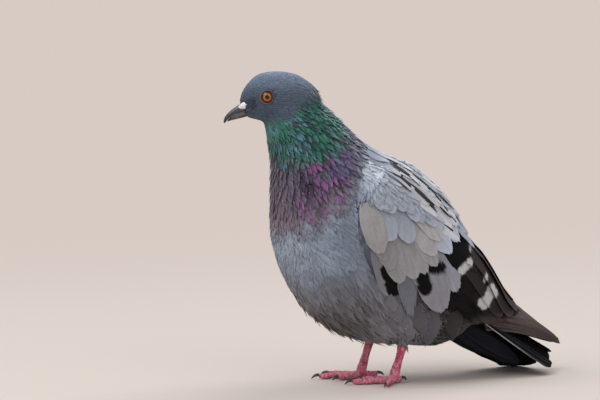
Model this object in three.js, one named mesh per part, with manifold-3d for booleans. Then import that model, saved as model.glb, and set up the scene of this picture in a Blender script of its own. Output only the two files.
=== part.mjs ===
// A feral pigeon as a still, life-size museum model. It stands alert, its head turned a little to its right.
// Units are millimetres. The bird faces -Y, its left side is +X, and +Z is up from the floor.
import * as THREE from "three";
import { mergeVertices } from "three/addons/utils/BufferGeometryUtils.js";
import Module from "manifold-3d";

const wasm = await Module();
wasm.setup();

// ---------------------------------------------------------------- driving dimensions
const V = (x, y, z) => new THREE.Vector3(x, y, z);
const SIDES = { left: 1, right: -1 };
const GAP = 0.3; // clearance between two pieces that meet

const EYE = { radius: 5.8, inset: 8.4, at: V(-7.5, -92.5, 211.6) }; // "at" is midway between the eyes
const HEAD_YAW = 25; // degrees that the head turns to the bird's right
const TAIL = { root: V(0, 54, 62), length: 86, fall: 33, spread: 19, halfRoot: 9, thick: 2, lift: 1.5 };
const STANCE = { at: -4, stride: 5, half: 20 }; // the feet's place, the right one's lead, the half width
const HOCK = { height: 31, back: 9 }; // the top of the bare leg, measured from the foot
const CLAW = 7; // how far a claw reaches past its toe

// Each toe's direction in degrees, 0 being straight ahead and + toward the bird's left, and its length.
const TOES = {
  left: { inner: [-45, 23], middle: [-10, 31], outer: [48, 25], hind: [205, 10] },
  right: { inner: [17, 23], middle: [-13, 31], outer: [-50, 25], hind: [184, 14] },
};

// ---------------------------------------------------------------- solids and meshes
function solidOf(geometry) {
  geometry.deleteAttribute("normal");
  geometry.deleteAttribute("uv");
  const merged = mergeVertices(geometry, 1e-4);
  return new wasm.Manifold(
    new wasm.Mesh({
      numProp: 3,
      vertProperties: new Float32Array(merged.attributes.position.array),
      triVerts: new Uint32Array(merged.index.array),
    }),
  );
}

function meshOf(name, solid, material) {
  const made = solid.getMesh();
  const geometry = new THREE.BufferGeometry();
  geometry.setAttribute("position", new THREE.BufferAttribute(new Float32Array(made.vertProperties), 3));
  geometry.setIndex(new THREE.BufferAttribute(new Uint32Array(made.triVerts), 1));
  geometry.computeVertexNormals();
  const mesh = new THREE.Mesh(geometry, material);
  mesh.name = name;
  return mesh;
}

// A cut can leave crumbs along a thin edge: only the largest body is kept.
function largest(solid) {
  return solid.decompose().reduce((a, b) => (a.volume() > b.volume() ? a : b));
}

function union(solids) {
  return solids.reduce((a, b) => a.add(b));
}

// The room that a neighbour leaves for a shape, which is known by its function of how far it is grown.
function roomFor(shape) {
  return shape(0).add(shape(1.3 * GAP));
}

function slab(centre, size) {
  return solidOf(new THREE.BoxGeometry(...size).translate(...centre));
}

// A cylinder with its points moved to place(along, angle, reach), where along and reach go from 0 to 1.
function loft(around, rings, place) {
  const geometry = new THREE.CylinderGeometry(1, 1, 1, around, rings);
  const position = geometry.attributes.position;
  for (let i = 0; i < position.count; i++) {
    const reach = Math.hypot(position.getX(i), position.getZ(i));
    const angle = Math.atan2(position.getZ(i), position.getX(i));
    const point = place(0.5 - position.getY(i), angle, reach);
    position.setXYZ(i, point.x, point.y, point.z);
  }
  const made = solidOf(geometry);
  return made.volume() < 0 ? solidOf(turnedInsideOut(geometry)) : made;
}

function turnedInsideOut(geometry) {
  const turned = geometry.clone();
  const index = turned.index.array;
  for (let i = 0; i < index.length; i += 3) {
    [index[i + 1], index[i + 2]] = [index[i + 2], index[i + 1]];
  }
  return turned;
}

// A round body along a spine. Each station is [middle, (back, front, side)].
function bodyLoft(stations, { rings, around, grow = 0, yaw = () => 0, square = 2.2 }) {
  const spine = new THREE.CatmullRomCurve3(stations.map(([middle]) => middle), false, "catmullrom", 0.5);
  const reaches = new THREE.CatmullRomCurve3(stations.map(([, reach]) => reach), false, "catmullrom", 0.5);
  return loft(around, rings, (along, angle, reach) => {
    const [back, front, side] = reaches.getPoint(along).toArray();
    const turn = THREE.MathUtils.degToRad(yaw(along));
    const across = V(Math.cos(turn), Math.sin(turn), 0);
    const ahead = spine.getTangent(along);
    const upward = ahead.clone().cross(across).normalize();
    const spread = Math.abs(Math.cos(angle)) ** square + Math.abs(Math.sin(angle)) ** square;
    const corner = spread ** (-1 / square);
    const height = Math.sin(angle) * corner * ((Math.sin(angle) > 0 ? back : front) + grow);
    const width = Math.cos(angle) * corner * (side + grow);
    const end = along < 0.001 ? -grow : along > 0.999 ? grow : 0;
    return spine
      .getPoint(along)
      .addScaledVector(upward, height * reach)
      .addScaledVector(across, width * reach)
      .addScaledVector(ahead, end);
  });
}

function tube(points, radii, { rings, around, grow = 0 }) {
  const stations = points.map((point, i) => [point, V(radii[i], radii[i], radii[i])]);
  return bodyLoft(stations, { rings, around, grow, square: 2 });
}

// A closed curve through [y, z] corners of the bird's profile, made a slab from x = from to x = to.
function profileSlab(corners, from, to) {
  const outline = new THREE.CatmullRomCurve3(corners.map(([y, z]) => V(y, z, 0)), true);
  const shape = new THREE.Shape(outline.getPoints(34).slice(0, -1));
  const geometry = new THREE.ExtrudeGeometry(shape, { depth: to - from, bevelEnabled: false });
  geometry.applyMatrix4(new THREE.Matrix4().makeBasis(V(0, 1, 0), V(0, 0, 1), V(1, 0, 0)));
  return solidOf(geometry.translate(from, 0, 0));
}

const floor = slab([0, 0, -50], [600, 600, 100]);

// ---------------------------------------------------------------- trunk and neck
const BODY = [
  [V(0, 76, 41), V(6, 10, 10)],
  [V(0, 63, 49), V(21, 31.5, 26)],
  [V(0, 42, 63), V(35, 47, 38)],
  [V(0, 16, 82), V(44, 65.5, 45)],
  [V(0, -9, 103), V(48, 73, 49)],
  [V(0, -30, 127), V(46, 66.5, 48)],
  [V(-0.5, -46, 152), V(38, 49, 41)],
  [V(-2, -60, 176), V(30, 33, 31)],
  [V(-4, -72, 195), V(23, 24, 23)],
  [V(-7, -81, 207), V(16, 17, 17)],
];
const neckTwist = (along) => -HEAD_YAW * THREE.MathUtils.smoothstep(along, 0.6, 1);
const body = (grow) => bodyLoft(BODY, { rings: 22, around: 22, grow, yaw: neckTwist });

// The neck meets the trunk in a plane that leans with the shoulders.
const SHOULDER = { at: V(0, -50, 150), lean: 28 };
function aboveShoulder(gap) {
  const size = 400;
  return solidOf(
    new THREE.BoxGeometry(size, size, size)
      .translate(0, 0, (size + gap) / 2)
      .rotateX(THREE.MathUtils.degToRad(SHOULDER.lean))
      .translate(...SHOULDER.at),
  );
}

// ---------------------------------------------------------------- head
const headFrame = new THREE.Matrix4()
  .makeTranslation(...EYE.at)
  .multiply(new THREE.Matrix4().makeRotationZ(THREE.MathUtils.degToRad(-HEAD_YAW)));
const inHead = (forward, up, left = 0) => V(left, -forward, up);
const placedInHead = (solid) => solid.transform(headFrame.elements);

const SKULL = [
  [inHead(-37, -14), V(5, 8, 8)],
  [inHead(-31, -9), V(13, 16, 14)],
  [inHead(-21, -3), V(18.5, 20, 15)],
  [inHead(-9, -2), V(20.8, 18, 14)],
  [inHead(2, -4), V(20.9, 15, 12.3)],
  [inHead(10, -6), V(15.4, 12, 9.5)],
  [inHead(15, -8), V(9.2, 9, 7)],
  [inHead(18.5, -9.5), V(5, 5.5, 4.6)],
];
const skull = (grow) => placedInHead(bodyLoft(SKULL, { rings: 13, around: 16, grow, square: 2.1 }));

// The bill has an upper half with a hooked tip, a lower half, and a swollen cere over each nostril.
const UPPER_BILL = [
  [inHead(15, -8), V(4.2, 3, 4.4)],
  [inHead(20, -10.1), V(3.5, 2.6, 3.5)],
  [inHead(25, -13.1), V(2.8, 1.9, 2.5)],
  [inHead(28.8, -16.4), V(1.9, 1.5, 1.6)],
  [inHead(30.6, -19.3), V(0.5, 0.5, 0.5)],
];
const LOWER_BILL = [
  [inHead(14, -12.2), V(1.6, 2.4, 3.7)],
  [inHead(20, -14.3), V(1.6, 1.9, 2.9)],
  [inHead(25.3, -16.2), V(1.2, 1.2, 1.8)],
  [inHead(28.1, -18), V(0.4, 0.4, 0.6)],
];
const upperBill = (grow) => placedInHead(bodyLoft(UPPER_BILL, { rings: 8, around: 12, grow }));
const lowerBill = (grow) => placedInHead(bodyLoft(LOWER_BILL, { rings: 6, around: 10, grow }));

function cere(side, grow) {
  const lobe = [
    [inHead(19.6, -8.2, side * 1.9), V(0.8, 0.8, 0.8)],
    [inHead(17.2, -6.8, side * 2.7), V(2.3, 2.1, 2.2)],
    [inHead(13.4, -5.4, side * 3.9), V(2.9, 2.6, 2.7)],
    [inHead(10.4, -5.2, side * 4.4), V(1, 1, 1)],
  ];
  return placedInHead(bodyLoft(lobe, { rings: 5, around: 8, grow }));
}

function eyeball(side, grow) {
  const ball = new THREE.SphereGeometry(EYE.radius + grow, 12, 8).translate(side * EYE.inset, 0, 0);
  return placedInHead(solidOf(ball));
}

// ---------------------------------------------------------------- tail
// The closed tail is one arched fan. share runs across it from -1 on the bird's right to 1 on its left. Both
// edges droop below the middle, the right one the most, and the end is laid softly along the floor.
function tailMiddle(share, along) {
  const angle = THREE.MathUtils.degToRad(TAIL.spread * share);
  const out = TAIL.length * along * (1 - 0.12 * share * share);
  const droop = (1.5 + 19 * along) * share * share - 7 * along * share;
  const height = TAIL.root.z - Math.tan(THREE.MathUtils.degToRad(TAIL.fall)) * out * Math.cos(angle) - droop;
  const rest = 0.45 * TAIL.thick + (1 - Math.abs(share)) * TAIL.lift * along;
  const softness = 5;
  const laid = rest + softness * Math.log(1 + Math.exp((height - rest) / softness));
  const beside = TAIL.halfRoot * share + out * Math.sin(angle);
  return V(TAIL.root.x + beside, TAIL.root.y + out * Math.cos(angle), laid);
}

function tailFan(grow) {
  const wider = 1 + grow / TAIL.halfRoot;
  const longer = 1 + grow / TAIL.length;
  const fan = loft(20, 8, (along, angle, reach) => {
    const middle = tailMiddle(Math.cos(angle) * reach * wider, along * longer);
    const thickness = Math.sign(Math.sin(angle)) * Math.sqrt(Math.abs(Math.sin(angle)));
    return middle.setZ(middle.z + thickness * reach * (TAIL.thick / 2 + grow));
  });
  return fan.subtract(floor);
}

// ---------------------------------------------------------------- wings
const MIDLINE = 0.5; // how far each folded wing stays off the middle of the back
const WING_BODY = [
  [V(0, 124, 33), V(8, 4, 7)],
  [V(0, 105, 40), V(16, 9, 17)],
  [V(0, 83, 50), V(25, 17, 28)],
  [V(0, 60, 62), V(38, 32, 40)],
  [V(0, 38, 74), V(44, 44, 51)],
  [V(0, 14, 92), V(53, 55, 57)],
  [V(0, -10, 112), V(56, 62, 59)],
  [V(0, -31, 134), V(50, 60, 57)],
  [V(0, -46, 156), V(37, 48, 46)],
];
// The wing's edge in profile: down its front, back along the lower edge to the tip, and up over the rump.
const WING_OUTLINE = [
  [-6, 171], [-27, 162], [-41, 148], [-49, 130], [-46, 108], [-38, 92], [-26, 78],
  [-8, 67], [10, 61], [27, 59], [43, 55], [58, 47], [78, 36], [98, 27], [125, 23],
  [126, 50], [98, 76], [80, 102], [60, 124], [46, 144], [22, 162],
];
const WIDE = 90; // beyond the widest part of the bird
function wingShell(side) {
  const slabEnds = side > 0 ? [MIDLINE, WIDE] : [-WIDE, -MIDLINE];
  const bulk = bodyLoft(WING_BODY, { rings: 13, around: 20, square: 2.3 });
  return bulk.intersect(profileSlab(WING_OUTLINE, ...slabEnds));
}

// The primaries of a folded wing lie stacked as one pointed blade, on edge beside the rump.
const PRIMARIES = { root: V(16, 88, 44), tip: V(7, 150, 21), depth: 31, thick: 5, arch: 5, lean: 38 };
function primaries(side, grow) {
  const lean = THREE.MathUtils.degToRad(PRIMARIES.lean);
  const deep = V(Math.sin(lean) * side, 0, -Math.cos(lean));
  const through = V(Math.cos(lean), 0, Math.sin(lean) * side);
  const longer = 1 + grow / PRIMARIES.root.distanceTo(PRIMARIES.tip);
  return loft(10, 8, (along, angle, reach) => {
    const middle = PRIMARIES.root.clone().lerp(PRIMARIES.tip, along * longer);
    middle.x *= side;
    middle.z += PRIMARIES.arch * Math.sin(Math.PI * along);
    const taper = Math.sqrt(1.02 - along ** 2.2);
    return middle
      .addScaledVector(deep, Math.cos(angle) * reach * ((PRIMARIES.depth / 2) * taper + grow))
      .addScaledVector(through, Math.sin(angle) * reach * ((PRIMARIES.thick / 2) * taper + grow));
  });
}

// ---------------------------------------------------------------- legs
const ANKLE = { height: 3.6, radius: 4.2 }; // the pad under the leg, where the toes meet
const TOE = { height: 2.4, start: 3, radii: [3, 2.9, 2.7, 2.3, 1] };

function footAt(side) {
  return V(side * STANCE.half, STANCE.at + (side * STANCE.stride) / 2, 0);
}

function tarsus(side, grow) {
  const foot = footAt(side);
  const hock = foot.clone().add(V(0, HOCK.back, HOCK.height));
  const ankle = foot.clone().setZ(ANKLE.height);
  const top = hock.clone().add(V(0, 1, 3));
  const points = [top, hock, hock.clone().lerp(ankle, 0.5), ankle, foot.clone().setZ(0.8)];
  return tube(points, [2.4, 3.5, 2.9, ANKLE.radius, 3], { rings: 6, around: 8, grow }).subtract(floor);
}

function thigh(side) {
  const foot = footAt(side);
  const top = V(side * 27, 2, 72);
  const knee = V(side * 24.5, 9, 46);
  const shin = foot.clone().add(V(0, 8, HOCK.height));
  const cuff = foot.clone().add(V(0, 6, HOCK.height - 6));
  return tube([top, knee, shin, cuff], [16, 13, 7, 4.4], { rings: 6, around: 12 });
}

// A toe lies flat on the floor along its own direction, and its claw arches down from the end of it.
function toeAxis([degrees], foot) {
  const turn = THREE.MathUtils.degToRad(degrees);
  const ahead = V(Math.sin(turn), -Math.cos(turn), 0);
  return (out, z) => foot.clone().addScaledVector(ahead, out).setZ(z);
}

function toe(shape, foot, grow) {
  const at = toeAxis(shape, foot);
  const length = shape[1];
  const steps = [TOE.start, length * 0.35, length * 0.7, length, length + 1.2];
  const points = steps.map((out) => at(out, TOE.height));
  return tube(points, TOE.radii, { rings: 4, around: 8, grow }).subtract(floor);
}

function claw(shape, foot) {
  const at = toeAxis(shape, foot);
  const length = shape[1];
  const tip = length + CLAW;
  const arch = [at(length - 1, 3), at(tip - CLAW * 0.55, 3.4), at(tip - CLAW * 0.2, 2.1), at(tip, 0.5)];
  return tube(arch, [1.5, 1.35, 0.9, 0.3], { rings: 4, around: 5 });
}

// ---------------------------------------------------------------- materials
const finish = (color, roughness) => new THREE.MeshStandardMaterial({ color, roughness, metalness: 0 });
const finishes = {
  head: finish(0x59606c, 0.7),
  neck: finish(0x2f6b5a, 0.45),
  trunk: finish(0x777c8a, 0.75),
  wing: finish(0xa9adb7, 0.7),
  primaries: finish(0x3a3132, 0.6),
  tail: finish(0x15161b, 0.6),
  bill: finish(0x2c2c30, 0.4),
  cere: finish(0xe4e2e0, 0.8),
  eye: finish(0xd06a10, 0.1),
  leg: finish(0xb03a50, 0.55),
  claw: finish(0x26262b, 0.35),
};

// ---------------------------------------------------------------- the bird
const pigeon = new THREE.Group();
const add = (name, solid, material) => pigeon.add(meshOf(name, largest(solid), material));

function addHead() {
  const eyes = union(Object.values(SIDES).map((side) => roomFor((grow) => eyeball(side, grow))));
  const ceres = union(Object.values(SIDES).map((side) => roomFor((grow) => cere(side, grow))));
  const lower = roomFor(lowerBill);
  const sockets = union([eyes, roomFor(upperBill), lower, ceres]);
  add("head", skull(0).subtract(sockets), finishes.head);
  add("bill_upper", upperBill(0).subtract(lower).subtract(ceres), finishes.bill);
  add("bill_lower", lowerBill(0), finishes.bill);
  for (const [name, side] of Object.entries(SIDES)) {
    const otherHalf = slab([-side * 10, 0, 0], [20 + GAP, 100, 100]).transform(headFrame.elements);
    add(`eye_${name}`, eyeball(side, 0), finishes.eye);
    add(`cere_${name}`, cere(side, 0).subtract(otherHalf), finishes.cere);
  }
}

function addTrunk() {
  add("trunk", body(0).subtract(aboveShoulder(-GAP)), finishes.trunk);
  add("neck", body(0).intersect(aboveShoulder(GAP)).subtract(roomFor(skull)), finishes.neck);
  add("tail", tailFan(0).subtract(roomFor(body)), finishes.tail);
}

function addWing(name, side) {
  const blade = (grow) => primaries(side, grow);
  const inner = roomFor(body).add(roomFor(tailFan));
  const shell = wingShell(side).subtract(inner).subtract(roomFor(blade)).subtract(aboveShoulder(-GAP));
  add(`wing_${name}`, shell, finishes.wing);
  add(`primaries_${name}`, blade(0).subtract(inner), finishes.primaries);
}

function addLeg(name, side) {
  const bone = (grow) => tarsus(side, grow);
  add(`thigh_${name}`, thigh(side).subtract(roomFor(body)).subtract(roomFor(bone)), finishes.trunk);
  add(`tarsus_${name}`, bone(0).subtract(roomFor(body)), finishes.leg);
  let taken = roomFor(bone);
  for (const [digit, shape] of Object.entries(TOES[name])) {
    const room = roomFor((grow) => toe(shape, footAt(side), grow));
    add(`toe_${digit}_${name}`, toe(shape, footAt(side), 0).subtract(taken), finishes.leg);
    add(`claw_${digit}_${name}`, claw(shape, footAt(side)).subtract(room), finishes.claw);
    taken = taken.add(room);
  }
}

addTrunk();
addHead();
for (const [name, side] of Object.entries(SIDES)) {
  addWing(name, side);
  addLeg(name, side);
}

// The origin is at the middle of the bird's bounding box, on the floor.
const middle = new THREE.Box3().setFromObject(pigeon, true).getCenter(V(0, 0, 0));
pigeon.position.set(-middle.x, -middle.y, 0);

export default pigeon;
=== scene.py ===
from math import cos, pi, radians, sin, tau

import bmesh
import bpy
import numpy as np
from mathutils import Matrix, Vector
from mathutils.bvhtree import BVHTree
from mathutils.kdtree import KDTree


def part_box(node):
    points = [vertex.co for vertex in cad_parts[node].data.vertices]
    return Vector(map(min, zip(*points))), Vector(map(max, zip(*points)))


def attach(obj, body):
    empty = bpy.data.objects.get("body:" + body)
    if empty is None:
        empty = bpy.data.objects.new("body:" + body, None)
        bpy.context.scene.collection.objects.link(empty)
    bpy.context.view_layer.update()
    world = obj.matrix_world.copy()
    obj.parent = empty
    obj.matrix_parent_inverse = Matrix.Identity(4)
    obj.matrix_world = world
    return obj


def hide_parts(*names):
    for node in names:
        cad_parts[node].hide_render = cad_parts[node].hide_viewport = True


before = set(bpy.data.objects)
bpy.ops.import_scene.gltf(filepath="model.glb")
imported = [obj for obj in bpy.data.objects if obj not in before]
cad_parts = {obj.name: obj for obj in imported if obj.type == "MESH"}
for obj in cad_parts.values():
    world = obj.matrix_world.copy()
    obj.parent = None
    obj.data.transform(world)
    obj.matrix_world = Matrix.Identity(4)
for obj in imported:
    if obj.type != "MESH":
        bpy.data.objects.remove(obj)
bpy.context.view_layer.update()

MM = 0.001

# --- Camera, floor and studio light -------------------------------------------------------------
# A long lens stands low, ahead of the bird's left side. The floor is one pale matt sheet, and soft
# lamps with an even room light show each colour about as it is written.
scene = bpy.context.scene
scene.view_settings.view_transform = "Standard"

VIEW_AZIMUTH, VIEW_RISE, VIEW_DISTANCE = radians(61.24), radians(4.28), 2.804
VIEW_WIDTH, FILM_WIDTH, FARTHEST_SEEN = 0.444, 36.0, 60
AIM_FROM_TRUNK = Vector((-0.0444, -0.0398, 0.0361))


def direction(turn, rise):
    """The way to something at that turn from straight ahead of the bird and that rise from level."""
    return Vector((sin(turn) * cos(rise), -cos(turn) * cos(rise), sin(rise)))


to_lens = direction(VIEW_AZIMUTH, VIEW_RISE)
trunk_low, trunk_high = (Vector(corner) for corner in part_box("trunk"))
aim = (trunk_low + trunk_high) / 2 + AIM_FROM_TRUNK

camera = bpy.data.objects.new("camera", bpy.data.cameras.new("camera"))
scene.collection.objects.link(camera)
camera.location = aim + VIEW_DISTANCE * to_lens
camera.rotation_euler = to_lens.to_track_quat("Z", "Y").to_euler()
camera.data.sensor_width = FILM_WIDTH
camera.data.lens = FILM_WIDTH * VIEW_DISTANCE / VIEW_WIDTH
camera.data.clip_end = FARTHEST_SEEN
scene.camera = camera


def tone(red, green, blue):
    """A paint chip's red, green and blue out of 255, as the light it reflects."""
    chip = np.array((red, green, blue)) / 255
    return np.where(chip <= 0.04045, chip / 12.92, ((chip + 0.055) / 1.055) ** 2.4)


def new_finish(name, roughness, **sockets):
    """A material, its nodes and its shader, with those values on the shader's sockets."""
    finish = bpy.data.materials.new(name)
    finish.use_nodes = True
    shader = finish.node_tree.nodes["Principled BSDF"]
    shader.inputs["Roughness"].default_value = roughness
    for socket, value in sockets.items():
        shader.inputs[socket.replace("_", " ")].default_value = value
    return finish, finish.node_tree, shader


def add_node(tree, kind, feeds=None, **values):
    """A node of that kind: feeds fill its sockets, by name or number, and values set its fields."""
    node = tree.nodes.new("ShaderNode" + kind)
    for field, value in values.items():
        setattr(node, field, value)
    for socket, feed in (feeds or {}).items():
        if isinstance(feed, bpy.types.NodeSocket):
            tree.links.new(feed, node.inputs[socket])
        else:
            node.inputs[socket].default_value = feed
    return node


def lit_by(name, turn, rise, distance, size, watts, tint):
    """A square lamp that far from the bird, at that turn from straight ahead and rise from level."""
    lamp = bpy.data.lights.new(name, "AREA")
    lamp.size, lamp.energy, lamp.color = size, watts, tint
    holder = bpy.data.objects.new(name, lamp)
    away = direction(turn, rise)
    holder.location = aim + distance * away
    holder.rotation_euler = away.to_track_quat("Z", "Y").to_euler()
    scene.collection.objects.link(holder)


lit_by("key_lamp", radians(5), radians(52), 2.6, 1.8, 46, (1, 0.985, 0.96))
lit_by("fill_lamp", radians(95), radians(20), 3.0, 2.4, 18, (0.96, 0.98, 1))
lit_by("back_lamp", radians(205), radians(48), 2.8, 1.8, 34, (0.97, 0.985, 1))

room = bpy.data.worlds.new("room")
room.use_nodes = True
room.node_tree.nodes["Background"].inputs["Color"].default_value = (0.93, 0.96, 1, 1)
room.node_tree.nodes["Background"].inputs["Strength"].default_value = 0.52
scene.world = room

FLOOR_REACH, FLOOR_CORNERS = 14, ((-1, -1), (1, -1), (1, 1), (-1, 1))
FADE_START, FADE_END = 0.25, 1.6
floor_mesh = bpy.data.meshes.new("floor")
floor_mesh.from_pydata([(x * FLOOR_REACH, y * FLOOR_REACH, 0) for x, y in FLOOR_CORNERS], [], [(0, 1, 2, 3)])
floor = bpy.data.objects.new("floor", floor_mesh)
scene.collection.objects.link(floor)
floor_finish, tree, shader = new_finish("pale_floor", 0.85, Specular_IOR_Level=0.2)
shader.inputs["Base Color"].default_value = (*tone(204, 193, 185), 1)
place = add_node(tree, "NewGeometry")
away = add_node(tree, "VectorMath", {0: place.outputs["Position"]}, operation="LENGTH")
far = add_node(tree, "MapRange", {"Value": away.outputs["Value"], 1: FADE_START, 2: FADE_END},
               interpolation_type="SMOOTHSTEP")
seen = add_node(tree, "LightPath")
backdrop_share = add_node(tree, "Math", {0: far.outputs[0], 1: seen.outputs["Is Camera Ray"]},
                          operation="MULTIPLY")
backdrop = add_node(tree, "Emission", {"Color": (*tone(216, 203, 196), 1)})
mixed = add_node(tree, "MixShader", {0: backdrop_share.outputs[0], 1: shader.outputs[0],
                                     2: backdrop.outputs[0]})
tree.links.new(mixed.outputs[0], tree.nodes["Material Output"].inputs["Surface"])
floor_mesh.materials.append(floor_finish)


# --- Skin ---------------------------------------------------------------------------------------
# One skin runs over the head, neck, trunk, wings and thighs. It is soft flesh without a seam, and
# lies under the feathers by the depth of the coat, thinnest on the face and deepest under the wings.
FLESH = ("trunk", "neck", "head", "wing_left", "wing_right", "thigh_left", "thigh_right")
SKIN_GRAIN, SOFTENED, CREASE_SOFTENED, SKIN_SOFTENED = 1.5 * MM, 5, 70, 4
EYE_PLUG = 5.1 * MM


def middle_of(node):
    """The middle of a node's box."""
    low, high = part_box(node)
    return (Vector(low) + Vector(high)) / 2


def cast_of(nodes, grain, plugs=(), whole=True):
    """The named solids and any round plugs as one closed form with an even grain: its points and quads.

    A whole cast keeps only its biggest shell, without the small pockets inside it."""
    shell = bmesh.new()
    for node in nodes:
        shell.from_mesh(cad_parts[node].data)
    for middle, reach in plugs:
        bmesh.ops.create_icosphere(shell, subdivisions=3, radius=reach, matrix=Matrix.Translation(middle))
    mesh = bpy.data.meshes.new("cast")
    shell.to_mesh(mesh)
    shell.free()
    form = bpy.data.objects.new("cast", mesh)
    scene.collection.objects.link(form)
    remesh = form.modifiers.new("grain", "REMESH")
    remesh.mode, remesh.voxel_size = "VOXEL", grain
    made = form.evaluated_get(bpy.context.evaluated_depsgraph_get()).to_mesh()
    points = np.empty(len(made.vertices) * 3)
    made.vertices.foreach_get("co", points)
    quads = np.array([tuple(face.vertices) for face in made.polygons])
    bpy.data.objects.remove(form)
    bpy.data.meshes.remove(mesh)
    points = points.reshape(-1, 3)
    return largest_shell(points, quads) if whole else (points, quads)


def largest_shell(points, quads):
    """The points and quads of the biggest closed shell."""
    group = np.arange(len(points))
    while True:
        low = group[quads].min(1)
        merged = group.copy()
        for corner in range(4):
            np.minimum.at(merged, quads[:, corner], low)
        merged = merged[merged]
        if (merged == group).all():
            break
        group = merged
    names, sizes = np.unique(group, return_counts=True)
    kept = group == names[sizes.argmax()]
    renumber = np.cumsum(kept) - 1
    return points[kept], renumber[quads[kept[quads[:, 0]]]]


def smoothed(points, quads, rounds, pull=0.5):
    """Each point drawn towards the middle of its neighbours, that many times."""
    ends = np.concatenate([quads[:, (a, b)] for a, b in ((0, 1), (1, 2), (2, 3), (3, 0))])
    count = np.bincount(ends[:, 0], minlength=len(points))[:, None]
    for _ in range(rounds):
        total = np.zeros_like(points)
        for axis in range(3):
            pulls = points[ends[:, 1], axis]
            total[:, axis] = np.bincount(ends[:, 0], weights=pulls, minlength=len(points))
        points = points + pull * (total / np.maximum(count, 1) - points)
    return points


def outward(points, quads):
    """The direction straight out of the surface at each point."""
    a, b, c, d = (points[quads[:, corner]] for corner in range(4))
    across = np.cross(c - a, d - b)
    total = np.zeros_like(points)
    for corner in range(4):
        for axis in range(3):
            pushes = across[:, axis]
            total[:, axis] += np.bincount(quads[:, corner], weights=pushes, minlength=len(points))
    return total / np.maximum(np.linalg.norm(total, axis=1, keepdims=True), 1e-12)


def ease(value, start, end):
    """0 before start, 1 after end, with a soft turn between them."""
    part = np.clip((value - start) / (end - start), 0, 1)
    return part * part * (3 - 2 * part)


eyes = {side: middle_of("eye_" + side) for side in ("left", "right")}
ceres = [middle_of("cere_" + side) for side in ("left", "right")]
eye_plugs = [(middle, EYE_PLUG) for middle in eyes.values()]
form, form_quads = cast_of(FLESH, SKIN_GRAIN, eye_plugs)
form = smoothed(form, form_quads, SOFTENED)
# The crease between the nape and the shoulders is softened most.
crease = (ease(form[:, 2] / MM, 138, 152) * ease(-form[:, 2] / MM, -196, -180)
          * ease(form[:, 1] / MM, -68, -52) * ease(-form[:, 1] / MM, -18, 8))
form = smoothed(form, form_quads, CREASE_SOFTENED, 0.5 * crease[:, None])
form_tree = BVHTree.FromPolygons(form.tolist(), form_quads.tolist())

# The lie of the plumage follows a line from the bill, over the head and down through the body.
SPINE = np.array(((-15, -122, 203), (-9, -108, 207), (-6.5, -97, 208), (-4, -87, 197), (-2, -75, 178),
                  (-0.5, -61, 154), (0, -44, 128), (0, -22, 104), (0, 3, 82), (0, 28, 63), (0, 50, 48),
                  (0, 75, 38), (0, 125, 15))) * MM
BEADS, BEAD_ROUNDS = 100, 12
stretch = np.concatenate(([0], np.cumsum(np.linalg.norm(np.diff(SPINE, axis=0), axis=1))))
beads_at = np.linspace(0, stretch[-1], BEADS)
beads = np.stack([np.interp(beads_at, stretch, SPINE[:, axis]) for axis in range(3)], 1)
for _ in range(BEAD_ROUNDS):
    beads[1:-1] = (beads[:-2] + beads[1:-1] * 2 + beads[2:]) / 4
bead_way = np.gradient(beads, axis=0)
bead_way /= np.linalg.norm(bead_way, axis=1, keepdims=True)


def along_spine(points, blur=14 * MM):
    """How far along the bird each point is, the way its plumage lies, and its angle round the spine."""
    gap = ((points[:, None] - beads[None]) ** 2).sum(2)
    weight = np.exp(-(gap - gap.min(1, keepdims=True)) / (2 * blur * blur))
    weight /= weight.sum(1, keepdims=True)
    run, way, middle = weight @ beads_at, weight @ bead_way, weight @ beads
    left = np.array((1.0, 0, 0)) - way * way[:, :1]
    left /= np.linalg.norm(left, axis=1, keepdims=True)
    over = np.cross(way, left)
    spoke = points - middle
    turn = np.arctan2((spoke * left).sum(1), -(spoke * over).sum(1))
    return run, way, turn


THIGH_OUT, THIGH_AHEAD = 24, 9


def on_thigh(points):
    """1 on the feathered thighs and 0 elsewhere."""
    x, y, z = points.T / MM
    apart = np.hypot(np.abs(x) - THIGH_OUT, y + THIGH_AHEAD)
    return ease(20 - apart, 0, 8) * ease(46 - z, 0, 12)


SEAM = 0.98


def unwrapped(points):
    """The place of each point on the skin cut along the belly and rolled flat."""
    run, _, turn = along_spine(points)
    return np.stack((0.5 + turn / tau * SEAM, run / stretch[-1]), 1)


def mottle(points, size, seed, waves=10):
    """Soft random patches of about that size, from about -1 to 1."""
    dice = np.random.default_rng(seed)
    ways = dice.normal(size=(waves, 3))
    ways *= tau / size * dice.uniform(0.6, 1.5, (waves, 1)) / np.linalg.norm(ways, axis=1, keepdims=True)
    return np.cos(points @ ways.T + dice.uniform(0, tau, waves)).sum(1) / np.sqrt(waves * 0.5) * 0.6


def blend(base, other, share):
    """That share of the way from base to the other colour."""
    return base + (other - base) * np.asarray(share)[..., None]


def washed(colour, *washes):
    """The colour with each wash laid over it in turn, given as a tone and how much of it covers."""
    for wash, share in washes:
        colour = blend(colour, wash, share)
    return colour


LORES = ((-4, -120, 207), (-18.5, -113.5, 207))


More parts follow.
